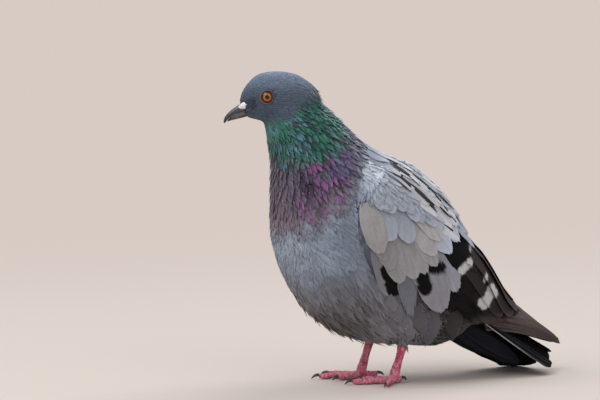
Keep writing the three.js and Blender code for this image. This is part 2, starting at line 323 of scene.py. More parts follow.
def plumage(points):
    """The colour that the coat has at each point, the same for skin and feathers."""
    x, y, z = points.T / MM
    level = z - 0.18 * (y + 80)
    patch, blot, fleck = (mottle(points, size * MM, seed) for size, seed in ((26, 3), (12, 4), (5, 5)))

    # Blue-grey breast and belly, paler on chest and flank, darker at the vent, painted shade low in front.
    body = washed(
        tone(118, 118, 125),
        (tone(126, 135, 152), ease(level + 6 * patch, 48, 92)),
        (tone(150, 161, 178), ease(-y, 62, 86) * ease(z, 72, 88) * ease(-z, -122, -108) * 0.7),
        # Painted shade: darker low on the front of the belly, over its darker, browner feathers.
        (tone(84, 80, 81), ease(60 - z + 4 * blot, 0, 18) * ease(-y, 26, 50)),
        (tone(56, 52, 52), ease(y + 0.8 * (z - 45), -2, 22) * ease(-z, -68, -54)),
        (tone(28, 26, 27), ease(y, 9, 31) * ease(-z, -66, -56)),
        (tone(128, 129, 138), np.exp(-((y + 17) / 15) ** 2 - ((z - 41) / 13) ** 2) * 0.75),
        (tone(138, 145, 159), ease(y - 0.4 * (170 - z), -62, -40) * ease(z, 95, 125)),
        (tone(104, 112, 126), ease(y, 48, 66)),
        # Dark streaks of painted shade along the lower front edge of the belly.
        (tone(60, 56, 57), ease(fleck, -0.1, 0.8) * ease(-y, 22, 44) * ease(88 - z, 0, 38) * 0.65))
    body = body * (1 + 0.11 * blot + 0.1 * patch)[:, None]

    # A mauve lower neck with violet patches, darker and greyer towards its sides.
    rim = 0.4 * np.clip(y + 100, 0, 35) + 2.0 * np.clip(y + 65, 0, 18)
    mauve = blend(tone(112, 96, 108), tone(124, 116, 132), ease(level, 120, 150))
    front = -y - 0.25 * x
    violet = washed(
        tone(134, 86, 136),
        (tone(96, 84, 122), ease(blot, -0.1, 0.7)),
        (tone(66, 52, 68), ease(fleck, 0.0, 0.8)),
        (tone(96, 92, 132), ease(y, -78, -68) * ease(z, 146, 156) * 0.8),
        (mauve, ease(front, 84, 96) * 0.85))
    violet = violet * (1 - 0.32 * ease(level, 134, 146) * ease(front, 60, 90))[:, None]

    # A bright green collar under the head.
    green = washed(
        tone(44, 112, 94),
        (tone(76, 124, 132), ease(blot - 0.5 * ease(y, -95, -75), -0.3, 0.6)),
        (tone(92, 80, 102), ease(patch + fleck * 0.5, 0.35, 1.0) * 0.75),
        (tone(34, 42, 50), ease(fleck, 0.2, 0.9) * 0.8),
        (tone(92, 90, 108), ease(y - 0.5 * (z - 180), -66, -54) * 0.85))

    # A slate head, paler on the crown and greenish behind the cheek, with dark lores by the bill.
    head = washed(
        tone(76, 87, 103),
        (tone(97, 111, 130), ease(z, 213, 223)),
        # A painted highlight along the top of the crown.
        (tone(120, 133, 153), ease(z, 224, 230)),
        (tone(64, 78, 95), ease(-z, -214, -201) * 0.75),
        (tone(58, 86, 88), ease(y, -98, -84) * ease(-z, -216, -206) * 0.6))
    head = head * (1 + 0.06 * fleck + 0.05 * blot)[:, None]
    head_start = z - 0.5 * np.clip(y + 107.7, -20, 30) + 2 * fleck
    lores = np.minimum(*(np.linalg.norm(points / MM - spot, axis=1) for spot in LORES))
    rump = ease(y, 52, 62) * ease(z - np.interp(y, (50, 100), (42, 20)), -2, 2)
    return washed(
        body,
        (mauve, ease(level - 4 * blot, 104 + rim, 122 + rim) * 0.9),
        (violet, ease(level - 8 * blot - 5 * fleck, 114 + rim, 140 + rim)),
        (green, ease(level + 5 * blot, 158, 170)),
        (head, ease(head_start, 187, 194) * ease(-y, 62, 70)),
        (tone(44, 39, 40), rump),
        (tone(44, 50, 64), ease(-lores, -6, -2.5) * 0.9))


def on_shoulders(points):
    """True over the shoulders and the back, where the scapulars and the mantle grow."""
    _, y, z = points.T / MM
    return (y > -46 + 0.9 * np.clip(z - 160, 0, 30)) & (y < 60) & (z > 140 - 1.0 * (y + 10))


def wing_front(z):
    """How far forward the folded wing reaches at each height, in mm."""
    return np.interp(z, (50, 64, 89, 110, 135, 155, 178), (-8, -27, -48, -57, -60, -52, -42))


def under_wing(points):
    """True where the folded wings or the long back feathers cover the trunk."""
    x, y, z = points.T / MM
    top = np.interp(y, (-60, -42, -20, 10, 45, 75, 100), (150, 166, 160, 138, 100, 78, 45))
    low = np.interp(y, (-50, -35, -10, 20, 50, 60, 100), (84, 70, 62, 56, 42, 38, 20))
    behind = y > wing_front(z) + 3 * ease(z, 95, 120) - 6
    return ((z > low) & (((z < top) & (np.abs(x) > 12) & behind) | (y > 8))) | on_shoulders(points)


BILL_ROOT = (-14, -121, 203)
CERE_PIT, WING_LAYER = 2.6, 1.9


def coat_depth(points):
    """How far the skin lies under the tips of the coat."""
    run, _, _ = along_spine(points)
    depth = 0.25 + 1.2 * ease(run / MM, 25, 60) + 0.8 * ease(run / MM, 80, 130)
    bill_gap = np.linalg.norm(points / MM - BILL_ROOT, axis=1)
    cere_gaps = (np.linalg.norm(points - np.array(middle), axis=1) / MM for middle in ceres)
    pit = np.maximum(*(1 - ease(gap, 3.2, 5.5) for gap in cere_gaps))
    depth = depth * (0.25 + 0.75 * ease(bill_gap, 3, 12))
    return (depth + CERE_PIT * pit + WING_LAYER * under_wing(points)) * MM


DEEPEST_LOOK, MOST_SUNK = 0.03, 0.33


def sunk(points, quads, depth):
    """The surface drawn in by that depth, but by no more than a third of what is behind it."""
    out = outward(points, quads)
    tree = BVHTree.FromPolygons(points.tolist(), quads.tolist())
    room_behind = np.empty(len(points))
    for number, (point, normal) in enumerate(zip(points, out)):
        start = Vector(point - normal * 0.3 * MM)
        hit = tree.ray_cast(start, Vector(-normal), DEEPEST_LOOK)
        room_behind[number] = hit[3] if hit[0] is not None else DEEPEST_LOOK
    return points - out * np.minimum(depth, room_behind * MOST_SUNK)[:, None]


def paint_points(mesh, colours):
    """Keeps a colour for each point in the mesh, where its finish finds it."""
    colours = colours.reshape(-1, 3)
    tint = mesh.color_attributes.new("tint", "FLOAT_COLOR", "POINT")
    tint.data.foreach_set("color", np.concatenate((colours, np.ones((len(colours), 1))), 1).ravel())


def set_up(name, mesh, finish):
    """The mesh in its finish, as a piece of the scene."""
    mesh.materials.append(finish)
    piece = bpy.data.objects.new(name, mesh)
    scene.collection.objects.link(piece)
    return piece


def skin_mesh(name, points, quads, colours, places, finish):
    """A closed painted surface, unwrapped with a seam where its places jump from one edge to the other."""
    mesh = bpy.data.meshes.new(name)
    mesh.from_pydata(points.tolist(), [], quads.tolist())
    mesh.shade_smooth()
    paint_points(mesh, colours)
    corner = places[quads]
    wrapped = (corner[:, :, 0].max(1) - corner[:, :, 0].min(1)) > 0.5
    over_seam = corner[wrapped, :, 0]
    corner[wrapped, :, 0] = np.where(over_seam < 0.5, over_seam + SEAM, over_seam)
    mesh.uv_layers.new(name="OFBake").data.foreach_set("uv", corner.ravel())
    return set_up(name, mesh, finish)


def painted_finish(name, roughness, **sockets):
    """A material as new_finish makes it, and the colour painted on the mesh, to work from."""
    finish, tree, shader = new_finish(name, roughness, **sockets)
    return finish, tree, shader, add_node(tree, "Attribute", attribute_name="tint").outputs["Color"]


def ranged(tree, value, start, end, low, high):
    """The value, from start to end, spread over low to high."""
    return add_node(tree, "MapRange", {"Value": value, 1: start, 2: end, 3: low, 4: high}).outputs[0]


def times(tree, colour, factor):
    """The colour made darker or lighter by that factor."""
    return add_node(tree, "VectorMath", {0: colour, 1: factor}, operation="MULTIPLY").outputs[0]


def raise_relief(tree, shader, height, strength, distance, **values):
    """Fine relief on the surface, from a height that varies over it."""
    relief = add_node(tree, "Bump", {"Strength": strength, "Distance": distance, "Height": height}, **values)
    tree.links.new(relief.outputs["Normal"], shader.inputs["Normal"])


skin = smoothed(sunk(form, form_quads, coat_depth(form)), form_quads, SKIN_SOFTENED)
skin_finish, tree, shader, paint = painted_finish("downy_skin", 0.8, Specular_IOR_Level=0.2)
down = add_node(tree, "TexNoise", {"Scale": 900.0, "Detail": 3.0})
soft = add_node(tree, "MixRGB", {"Fac": 0.5, "Color1": paint, "Color2": down.outputs["Fac"]},
                blend_type="MULTIPLY")
tree.links.new(soft.outputs["Color"], shader.inputs["Base Color"])
raise_relief(tree, shader, down.outputs["Fac"], 0.4, 0.4 * MM)
DOWN_SHADE = 0.75
skin_piece = skin_mesh("skin", skin, form_quads, plumage(skin) * DOWN_SHADE, unwrapped(skin), skin_finish)
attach(skin_piece, "root")
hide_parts(*FLESH)


# --- Body coat ----------------------------------------------------------------------------------
# Small contour feathers cover the head, neck and trunk. Each is a thin vane with a rounded or
# pointed end, rooted in the skin, laid backwards over the next ones like tiles.
TRIES = 11


def scatter(points, quads, spacing, wanted, seed):
    """Random roots on a surface, each about its spacing from the next, where wanted is true."""
    dice = np.random.default_rng(seed)
    corners = points[quads]
    middles = corners.mean(1)
    gap = spacing(middles)
    across = np.cross(corners[:, 2] - corners[:, 0], corners[:, 3] - corners[:, 1])
    share = np.where(wanted(middles), np.linalg.norm(across, axis=1) / 2 / gap ** 2, 0)
    picked = dice.choice(len(quads), int(share.sum() * TRIES), p=share / share.sum())
    a, b = dice.random((2, len(picked), 1))
    c = corners[picked]
    spots = (c[:, 0] * (1 - a) + c[:, 1] * a) * (1 - b) + (c[:, 3] * (1 - a) + c[:, 2] * a) * b
    gaps = gap[picked]
    near = KDTree(len(spots))
    for number, spot in enumerate(spots):
        near.insert(spot, number)
    near.balance()
    free = np.ones(len(spots), bool)
    kept = []
    for number in range(len(spots)):
        if free[number]:
            kept.append(number)
            for _, other, _ in near.find_range(spots[number], gaps[number]):
                free[other] = False
    return spots[kept]


def lie_down(roots, ways, lengths, steps, ground, edge_grip=0.75):
    """Each shaft laid over the ground from its root: its points and the directions out of the ground."""
    shafts = np.empty((len(roots), steps + 1, 3))
    ups = np.empty_like(shafts)
    for number, (root, way, length) in enumerate(zip(roots, ways, lengths)):
        point, up, _, _ = ground.find_nearest(Vector(root))
        way, pace = Vector(way), length / steps
        way = (way - up * way.dot(up)).normalized()
        shafts[number, 0], ups[number, 0] = point, up
        for step in range(1, steps + 1):
            ahead = point + way * pace
            spot, normal, _, gap = ground.find_nearest(ahead)
            if normal.dot(up) > edge_grip and gap < pace:
                point = spot
                up = (up + normal).normalized()
            else:
                point = ahead
            way = (way - up * way.dot(up)).normalized()
            shafts[number, step], ups[number, step] = point, up
    return shafts, ups


def per_feather(value, count):
    """One value for every feather, or a value each, ready to meet the rows and columns of its vane."""
    return np.broadcast_to(np.asarray(value, float), (count,))[:, None, None]


def vane_grid(shafts, ups, widths, rows, columns, dice, tip=0.35, point=2.0, waist=0.35, broad=0.55,
              end=0.8, fray=0.06, low=0.3 * MM, high=1.8 * MM, rise=1.3, cup=0.12):
    """The upper side of every vane, as points by row and column, with v along and u across it.

    tip is how far the sides stop short, point how sharp the end is and fray how ragged. waist and end are
    the widths of the root and the end, and broad is where it is widest. low and high are its lifts at the
    root and the tip, rise how late it lifts, and cup how far its sides droop."""
    count, stations = shafts.shape[:2]
    v, u = np.meshgrid(np.linspace(0, 1, rows + 1), np.linspace(-1, 1, columns + 1), indexing="ij")
    ends = 1 - tip * np.abs(u[None]) ** point - fray * dice.random((count, 1, columns + 1))
    s = np.clip(v[None] * ends, 0, 1)
    place = s * (stations - 1)
    low_step = np.clip(place.astype(int), 0, stations - 2)
    part = (place - low_step)[..., None]
    rank = np.arange(count)[:, None, None]

    def at_place(steps):
        return steps[rank, low_step] * (1 - part) + steps[rank, low_step + 1] * part

    up = at_place(ups)
    side = np.cross(at_place(np.gradient(shafts, axis=1)), up)
    side /= np.maximum(np.linalg.norm(side, axis=-1, keepdims=True), 1e-12)
    girth = np.where(v < broad, waist + (1 - waist) * np.sin(np.clip(v / broad, 0, 1) * pi / 2),
                     end + (1 - end) * np.cos(np.clip((v - broad) / (1 - broad), 0, 1) * pi / 2))
    half = per_feather(widths, count) / 2
    lift = per_feather(low, count) + (per_feather(high, count) - per_feather(low, count)) * s ** rise
    droop = cup * half * (u[None] ** 2)
    across = half * girth[None] * u[None]
    return at_place(shafts) + side * across[..., None] + up * (lift - droop)[..., None], up, v, u


PATCH_FILL = 0.92
SMALL_PATCH = (0.003, 0.003)


def side_by_side(count):
    """Middles and size of the patches of large vanes, each laid flat beside the next."""
    wide = int(np.ceil(np.sqrt(count)))
    rank = np.arange(count)
    middles = (np.stack((rank % wide, rank // wide), 1) + 0.5) / wide
    return middles, (PATCH_FILL / wide, PATCH_FILL / wide)


def feather_piece(name, vanes, thick, colours, finish, places=None):
    """One mesh of many closed vanes, from the grid of their upper sides.

    places are the middles of small patches on the unwrapped coat. Without them each vane is unwrapped
    large, beside the next."""
    tops, ups, v, u = vanes
    count, rows, columns = tops.shape[:3]
    places, patch = side_by_side(count) if places is None else (places, SMALL_PATCH)
    per = rows * columns
    points = np.stack((tops, tops - ups * per_feather(thick, count)[..., None]), 1).reshape(-1, 3)
    grid = np.arange(per).reshape(rows, columns)
    upper = np.stack((grid[:-1, :-1], grid[:-1, 1:], grid[1:, 1:], grid[1:, :-1]), -1).reshape(-1, 4)
    loop = np.concatenate((grid[0, :-1], grid[:-1, -1], grid[-1, :0:-1], grid[:0:-1, 0]))
    rim = np.stack((np.roll(loop, -1), loop, loop + per, np.roll(loop, -1) + per), -1)
    one = np.concatenate((upper, upper[:, ::-1] + per, rim))
    faces = (one[None] + (np.arange(count) * per * 2)[:, None, None]).reshape(-1, 4)
    smooth = np.tile(np.arange(len(one)) < len(upper) * 2, count)
    mesh = bpy.data.meshes.new(name)
    mesh.vertices.add(len(points))
    mesh.vertices.foreach_set("co", points.ravel())
    mesh.loops.add(len(faces) * 4)
    mesh.loops.foreach_set("vertex_index", faces.ravel())
    mesh.polygons.add(len(faces))
    mesh.polygons.foreach_set("loop_start", np.arange(len(faces)) * 4)
    mesh.polygons.foreach_set("use_smooth", smooth)
    mesh.update(calc_edges=True)
    paint_points(mesh, np.stack((colours, colours), 1))
    vane = np.stack(((u + 1) / 2, v), -1).reshape(1, 1, per, 2)
    spots = places[:, None, None] + (vane - 0.5) * np.reshape(patch, (-1, 1, 1, 2))
    for layer, flat in (("OFBake", spots), ("Vane", vane)):
        flat = np.broadcast_to(flat, (count, 2, per, 2)).reshape(-1, 2)
        mesh.uv_layers.new(name=layer).data.foreach_set("uv", flat[faces.ravel()].ravel())
    piece = set_up(name, mesh, finish)
    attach(piece, "root")
    return piece


BARB_SLANT, SHAFT_EDGES = -0.55, (0.012, 0.035)


def vane_finish(name, roughness, barbs, shaft, depth=0.35, contrast=0.15, **sockets):
    """Plumage: the painted colour, with slanting barbs and a paler or darker shaft along each vane."""
    finish, tree, shader, paint = painted_finish(name, roughness, **sockets)
    vane = add_node(tree, "UVMap", uv_map="Vane")
    parts = add_node(tree, "SeparateXYZ", {0: vane.outputs["UV"]})
    centred = add_node(tree, "Math", {0: parts.outputs["X"], 1: 0.5}, operation="SUBTRACT")
    beside = add_node(tree, "Math", {0: centred.outputs[0]}, operation="ABSOLUTE")
    slant = add_node(tree, "Math", {0: beside.outputs[0], 1: BARB_SLANT, 2: parts.outputs["Y"]},
                     operation="MULTIPLY_ADD")
    combed = add_node(tree, "CombineXYZ", {"X": slant.outputs[0], "Y": beside.outputs[0]})
    fine = add_node(tree, "VectorMath", {0: combed.outputs[0], 1: (barbs, 3.0, 0.0)}, operation="MULTIPLY")
    barb = add_node(tree, "TexNoise", {"Vector": fine.outputs[0], "Scale": 1.0, "Detail": 3.0})
    wobble = ranged(tree, barb.outputs["Fac"], 0.3, 0.7, 1 - contrast, 1 + 0.8 * contrast)
    quill = ranged(tree, beside.outputs[0], *SHAFT_EDGES, shaft, 1.0)
    tree.links.new(times(tree, times(tree, paint, wobble), quill), shader.inputs["Base Color"])
    raise_relief(tree, shader, barb.outputs["Fac"], depth, 0.3 * MM)
    return finish


def shaded(base, v, fringe=0.0, root=0.55):
    """Vane colours by row and column: darker at the root, and paler or darker along the fringe."""
    rows = root + (1 - root) * ease(v, 0.1, 0.75) + fringe * ease(v, 0.82, 1)
    return base[:, None, None, :] * rows[None, :, :, None]


EYE_TURN = radians(25)
EYE_AXIS = {"left": Vector((cos(EYE_TURN), -sin(EYE_TURN), 0)),
            "right": Vector((-cos(EYE_TURN), sin(EYE_TURN), 0))}
BILL_CLEAR, CERE_CLEAR, EYE_CLEAR = 7, 4.6 * MM, 5.6 * MM


def off_the_face(points):
    """True where feathers may grow: clear of the bare eye rings and of the bill."""
    clear = np.linalg.norm(points / MM - (-15, -124, 202), axis=1) > BILL_CLEAR
    for middle in ceres:
        clear &= np.linalg.norm(points - np.array(middle), axis=1) > CERE_CLEAR
    for side, middle in eyes.items():
        spoke = points - np.array(middle)
        axis = np.array(EYE_AXIS[side])
        depth = spoke @ axis
        apart = np.linalg.norm(spoke - depth[:, None] * axis, axis=1)
        clear &= (depth < 0) | (apart > EYE_CLEAR)
    return clear


def flank_band(points):
    """True along the lower front edge of the wing, where loose flank feathers lap over it."""
    x, y, z = points.T / MM
    return (y > wing_front(z) - 20) & (y < wing_front(z) - 9) & (z > 52) & (z < 90) & (np.abs(x) > 25)


MOST_BENDS = 5


def coat(name, spacing, length, width, wanted, seed, finish, slot, rows=4, columns=3, jitter=7, shine=0.12,
         fringe=0.1, root_shade=0.55, thick=0.16 * MM, ground=skin, paint=plumage, comb=None, **shape):
    """A coat piece: roots at their spacing, laid along the plumage, painted from the markings.

    Feathers on the thighs hang down, and are shorter and narrower than the rest."""
    dice = np.random.default_rng(seed)
    roots = scatter(ground, form_quads, spacing, wanted, seed)
    way = along_spine(roots)[1]
    thigh = on_thigh(roots)
    way = way * (1 - 0.8 * thigh[:, None]) + np.array((0, -0.1, -1)) * thigh[:, None]
    if comb is not None:
        way = comb(roots, way)
    tree = BVHTree.FromPolygons(ground.tolist(), form_quads.tolist())
    ups = np.array([tree.find_nearest(Vector(root))[1] for root in roots])
    turn = np.radians(dice.normal(0, jitter, len(roots)))[:, None]
    way = way * np.cos(turn) + np.cross(ups, way) * np.sin(turn)
    lengths = length(roots) * dice.uniform(0.85, 1.15, len(roots)) * (1 - 0.62 * thigh)
    shafts, ups = lie_down(roots, way, lengths, min(rows, MOST_BENDS), tree)
    widths = width(roots) * dice.uniform(0.85, 1.15, len(roots)) * (1 - 0.5 * thigh)
    shape = {key: value(roots, dice) if callable(value) else value for key, value in shape.items()}
    vanes = vane_grid(shafts, ups, widths, rows, columns, dice, **shape)
    colours = paint(shafts[:, -2]) * dice.normal(1, shine, (len(roots), 1)).clip(0.6, 1.5)
    colours = shaded(colours, vanes[2], fringe, root_shade)
    return feather_piece(name, vanes, thick, colours, finish, unwrapped(roots))


def varied(low, high):
    """A rise for each feather, with a little chance in it."""
    return lambda roots, dice: (low + (high - low) * dice.random(len(roots))) * MM


def grown(first, last, start, end):
    """A size that changes from first to last along the bird, from start to end, all in mm."""
    return lambda roots: (first + (last - first) * ease(along_spine(roots)[0] / MM, start, end)) * MM


def all_over(size):
    """One size in mm for the whole piece."""
    return lambda roots: np.full(len(roots), size * MM)


def on_stretch(start, end, also=None):
    """True on that stretch of the bird, measured along the spine in mm."""
    def wanted(points):
        run = along_spine(points)[0] / MM
        inside = (run >= start) & (run < end)
        return inside & also(points) if also else inside
    return wanted


def hackle_rise(roots, dice):
    """Most hackles lie close, and a few on the nape stand out."""
    loose = (dice.random(len(roots)) < 0.15) & (roots[:, 1] > -80 * MM) & (roots[:, 2] > 168 * MM)
    return (0.9 + 0.9 * dice.random(len(roots)) + 1.2 * loose) * MM


def lumpy(low, high, size, swell, loose_lift=0):
    """Lifts that swell and sink softly over the body. Some tufts at the front of the belly hang loose."""
    def lift(roots, dice):
        loose = (dice.random(len(roots)) < 0.25) & (roots[:, 1] < -15 * MM) & (roots[:, 2] < 62 * MM)
        stretched = roots * (1, 1, 0.55)
        return (low + (high - low) * dice.random(len(roots)) + swell * mottle(stretched, size * MM, 17)
                + loose_lift * loose * dice.random(len(roots))) * MM
    return lift


soft_plumage = vane_finish("soft_plumage", 0.75, 22.0, 0.95, Specular_IOR_Level=0.25, Sheen_Weight=0.15)
neck_plumage = vane_finish("neck_plumage", 0.38, 16.0, 0.9, Specular_IOR_Level=0.6, Metallic=0.35)
# The shape that the soft vanes share: thin, wide-rooted and ragged at the end.
SOFT = dict(columns=2, fringe=0.03, thick=0.06 * MM, tip=0.4, fray=0.2, waist=0.7, end=0.6, cup=0.1)

coat("face_feathers", grown(1.1, 1.7, 15, 36), grown(3.4, 6.0, 12, 36), grown(1.5, 2.5, 12, 36),
     on_stretch(-1, 38, off_the_face), 11, soft_plumage, "head_feathers", rows=3, columns=2, shine=0.04,
     root_shade=0.95, jitter=4, thick=0.07 * MM, low=0.12 * MM, high=varied(0.2, 0.3), tip=0.4, waist=0.6,
     cup=0.05)
coat("neck_feathers", grown(2.0, 3.2, 38, 80), grown(6.2, 10, 38, 80), grown(2.5, 4.2, 38, 80),
     on_stretch(36, 106, lambda points: ~on_shoulders(points)), 12, neck_plumage, "neck_feathers", rows=4,
     columns=4, jitter=8, shine=0.17, root_shade=0.36, thick=0.13 * MM, low=0.3 * MM, high=hackle_rise,
     tip=0.42, point=1.7, end=0.62, cup=0.17)
for name, start, end, spacing, length, width in (
        ("breast_feathers", 98, 132, 2.0, 9.5, 3.8), ("lower_breast_feathers", 132, 168, 2.3, 12, 4.6),
        ("belly_feathers", 168, 204, 2.5, 14, 5.0), ("vent_feathers", 204, 420, 2.8, 15, 5.2)):
    coat(name, all_over(spacing), all_over(length), all_over(width),
         on_stretch(start, end, lambda points: ~under_wing(points)), start, soft_plumage, "body_feathers",
         rows=4, jitter=9, shine=0.045, root_shade=0.88, low=lumpy(0.4, 0.4, 17, 0.3),
         high=lumpy(0.8, 1.15, 17, 0.5, 4.0), **SOFT)
coat("flank_feathers", all_over(2.8), all_over(19), all_over(5), flank_band, 16, soft_plumage,
     "body_feathers", rows=5, jitter=9, shine=0.045, root_shade=0.85, ground=form,
     comb=lambda roots, way: way * 0.5 + np.array((0, 0.2, -0.75)), low=-1.8 * MM,
     high=lumpy(0.0, 0.6, 17, 0.4), **SOFT)


# --- Wing shields -------------------------------------------------------------------------------
# Broad coverts lie over each folded wing like tiles, the upper ones over the lower. They are stiff,
# rounded vanes, pale grey with a beige cast. Black bars cross the lowest and white patches the hindmost.
SIDES = ((1, "left"), (-1, "right"))
OUTSIDE, BESIDE = 0.2, 0.03
covert_finish = vane_finish("covert_plumage", 0.75, 40.0, 0.94, depth=0.3, contrast=0.1,
                            Specular_IOR_Level=0.1)
BEIGE, BLUE, OAT, SKY = tone(148, 145, 148), tone(154, 160, 172), tone(168, 165, 167), tone(178, 185, 200)
ASH, SLATE, CHALK = tone(138, 138, 146), tone(92, 91, 95), tone(190, 187, 190)
INK, DUSK = tone(10, 10, 13), tone(19, 17, 18)


def on_side(y, z, side):
    """The spot on the flank of the cast form, straight in from that side."""
    hit = form_tree.ray_cast(Vector((side * OUTSIDE, y * MM, z * MM)), Vector((-side, 0, 0)))
    if hit[0] is not None:
        return hit[0]
    return form_tree.find_nearest(Vector((side * BESIDE, y * MM, z * MM)))[0]


def spread_along(line, count):
    """That many places spaced evenly along a line of (y, z) points."""
    line = np.array(line, float)
    reach = np.concatenate(([0], np.cumsum(np.linalg.norm(np.diff(line, axis=0), axis=1))))
    return np.stack([np.interp(np.linspace(0, reach[-1], count), reach, line[:, axis]) for axis in (0, 1)], 1)


def inside_marks(spots, marks):
    """How far inside any of the rounded strokes each spot is, seen from the side, from 0 to 1."""
    y, z = spots[..., 1] / MM, spots[..., 2] / MM
    wander = mottle(spots.reshape(-1, 3), 5 * MM, 31).reshape(y.shape)
    inside = np.zeros_like(y)
    for (ya, za), (yb, zb), reach in marks:
        span = (yb - ya) ** 2 + (zb - za) ** 2
        share = np.clip(((y - ya) * (yb - ya) + (z - za) * (zb - za)) / span, 0, 1)
        gap = np.hypot(y - ya - share * (yb - ya), z - za - share * (zb - za)) + 0.5 * wander
        inside = np.maximum(inside, ease(reach - gap, -0.6, 0.6))
    return inside


# Large coverts, each by its root and tip (y back, z up, in mm), width, lift at the root and the tip, and
# colour. The first four carry the black bars and the next two the white patches.
COVERTS = (
    ((-52, 110), (-33, 66), 13, -2.2, -0.5, ASH * 0.84),
    ((-44, 106), (-22, 60), 15, -2.3, -0.8, SLATE),
    ((-14, 120), (22, 68), 21, -2.9, -0.5, ASH * 1.12),
    ((-28, 116), (14, 54.5), 26, -3.0, 4.6, ASH),
    ((-6, 130), (29, 80), 18, -2.9, -0.9, INK),
    ((4, 134), (38, 86), 18, -2.8, -0.6, INK),
    ((-30, 108), (-13, 60), 14, -3.1, -1.0, DUSK * 2),
    ((-48, 118), (-27, 76), 16, -2.7, -0.5, BEIGE * 0.93),
    ((-40, 119), (-17, 79), 16, -2.6, -0.4, BEIGE),
    ((-30, 120), (-9, 83), 15, -2.6, -0.2, BEIGE),
    ((-52, 124), (-36, 86), 15, -2.6, -0.6, BEIGE * 0.9),
    ((-22, 124), (-1, 88), 16, -2.5, 0.0, BEIGE * 1.05),
    ((-56, 130), (-42, 93), 14, -2.5, -0.5, BEIGE * 0.84),
    ((-24, 131), (-2, 96), 18, -2.4, 0.0, OAT),
    ((-16, 130), (13, 97), 17, -2.3, 0.1, SKY),
    ((-6, 140), (22, 105), 18, -2.2, 0.3, SKY),
    ((-35, 135), (-23, 106), 16, -2.2, 0.1, BLUE),
    ((-50, 139), (-38, 108), 17, -2.2, 0.2, BLUE),
    ((-58, 137), (-47, 99), 18, -1.2, 0.5, OAT),
    ((-20, 134), (4, 107), 16, -2.1, 0.4, OAT * 1.05),
)
BARRED, PATCHED, FOREMOST = slice(0, 4), slice(4, 6), 18
# Marks on the wing, seen from the side: the two ends of each stroke and its reach, in mm.
BARS = (((-39, 88), (-30, 72), 5.4), ((-13.5, 84), (-7, 72), 5.4), ((-5, 88), (4, 87), 4.6))
WHITES = (((23, 83), (34, 89), 3.4), ((36, 98), (41, 100), 1.5), ((52, 74), (55, 78), 1.7),
          ((54, 57), (61, 66), 5.2), ((49, 58), (66, 64), 3.0))
# One row of smaller coverts above them: the line of their tips, how many, and their size in mm.
ROW_LINE, ROW_COUNT = ((-47, 130), (-38, 130), (-29, 129), (-19, 124), (-8, 118), (6, 114)), 10
ROW_LENGTH, ROW_WIDTH, ROW_LOW, ROW_HIGH = 18, 11, -1.8, 0.3


def measures_of(rows):
    """The widths and the lifts at root and tip from a table of vanes, in metres."""
    return (np.array([row[part] for row in rows]) * MM for part in (2, 3, 4))


def laid_vanes(rows, side, steps=8, evened=6):
    """Shafts and ups of vanes laid on that flank from root to tip, with their widths, lifts and colours."""
    starts = np.array([on_side(*row[0], side) for row in rows])
    ends = np.array([on_side(*row[1], side) for row in rows])
    line = starts[:, None] + (ends - starts)[:, None] * np.linspace(0, 1, steps + 1)[None, :, None]
    near = [form_tree.find_nearest(Vector(spot))[:2] for spot in line.reshape(-1, 3)]
    shafts = np.array([spot for spot, _ in near]).reshape(line.shape)
    ups = np.array([up for _, up in near]).reshape(line.shape)
    for _ in range(evened):
        ups[:, 1:-1] = (ups[:, :-2] + 2 * ups[:, 1:-1] + ups[:, 2:]) / 4
        shafts[:, 1:-1] = (shafts[:, :-2] + 2 * shafts[:, 1:-1] + shafts[:, 2:]) / 4
    ups /= np.linalg.norm(ups, axis=-1, keepdims=True)
    return shafts, ups, *measures_of(rows), np.array([row[5] for row in rows])


def streaks(tops, u, v):
    """A light and dark streaking that fans out from the root of each vane, around 1."""
    rank = np.arange(len(tops))[:, None, None] * 50
    spots = np.stack(np.broadcast_arrays(u[None] * (9 - 3 * v), v[None] * 5, rank + 0 * u), -1) * MM
    return 1 + 0.065 * mottle(spots.reshape(-1, 3), 2.2 * MM, 33).reshape(tops.shape[:3])[..., None]


for side, hand in SIDES:
    dice = np.random.default_rng(40 + side)
    shafts, ups, widths, low, high, base = laid_vanes(COVERTS, side)
    vanes = vane_grid(shafts, ups, widths, 44, 24, dice, tip=0.26, point=2.3, waist=0.5, end=0.92,
                      fray=0.035, low=low, high=high, cup=0.08)
    tops, _, v, u = vanes
    colours = shaded(base, v, 0.06, 0.85) * streaks(tops, u, v)
    colours[FOREMOST] *= 1 - 0.25 * v[..., None]
    colours[BARRED] = blend(colours[BARRED], INK, inside_marks(tops[BARRED], BARS))
    colours[PATCHED] = blend(colours[PATCHED], CHALK, inside_marks(tops[PATCHED], WHITES))
    feather_piece("large_coverts_" + hand, vanes, 0.2 * MM, colours, covert_finish)

    rows = []
    for y, z in spread_along(ROW_LINE, ROW_COUNT) + dice.normal(0, 1.0, (ROW_COUNT, 2)):
        lean = radians(min(max(76 - 0.35 * (y + 58), 44), 78) + dice.normal(0, 7))
        root = (y - cos(lean) * ROW_LENGTH, z + sin(lean) * ROW_LENGTH)
        rows.append((root, (y, z), ROW_WIDTH * dice.uniform(0.8, 1.25), ROW_LOW,
                     ROW_HIGH + dice.uniform(-0.2, 0.2), tone(160, 166, 178) * dice.uniform(0.93, 1.07)))
    shafts, ups, widths, low, high, base = laid_vanes(rows, side)
    vanes = vane_grid(shafts, ups, widths, 12, 12, dice, tip=0.3, point=2.1, waist=0.5, end=0.88,
                      fray=0.05, low=low, high=high, cup=0.02)
    tops, _, v, _ = vanes
    shade = 1 + 0.1 * mottle(tops.reshape(-1, 3), 9 * MM, 32).reshape(tops.shape[:3])
    colours = shaded(base, v, 0.02, 0.9) * shade[..., None]
    feather_piece("small_coverts_" + hand, vanes, 0.14 * MM, colours, covert_finish)


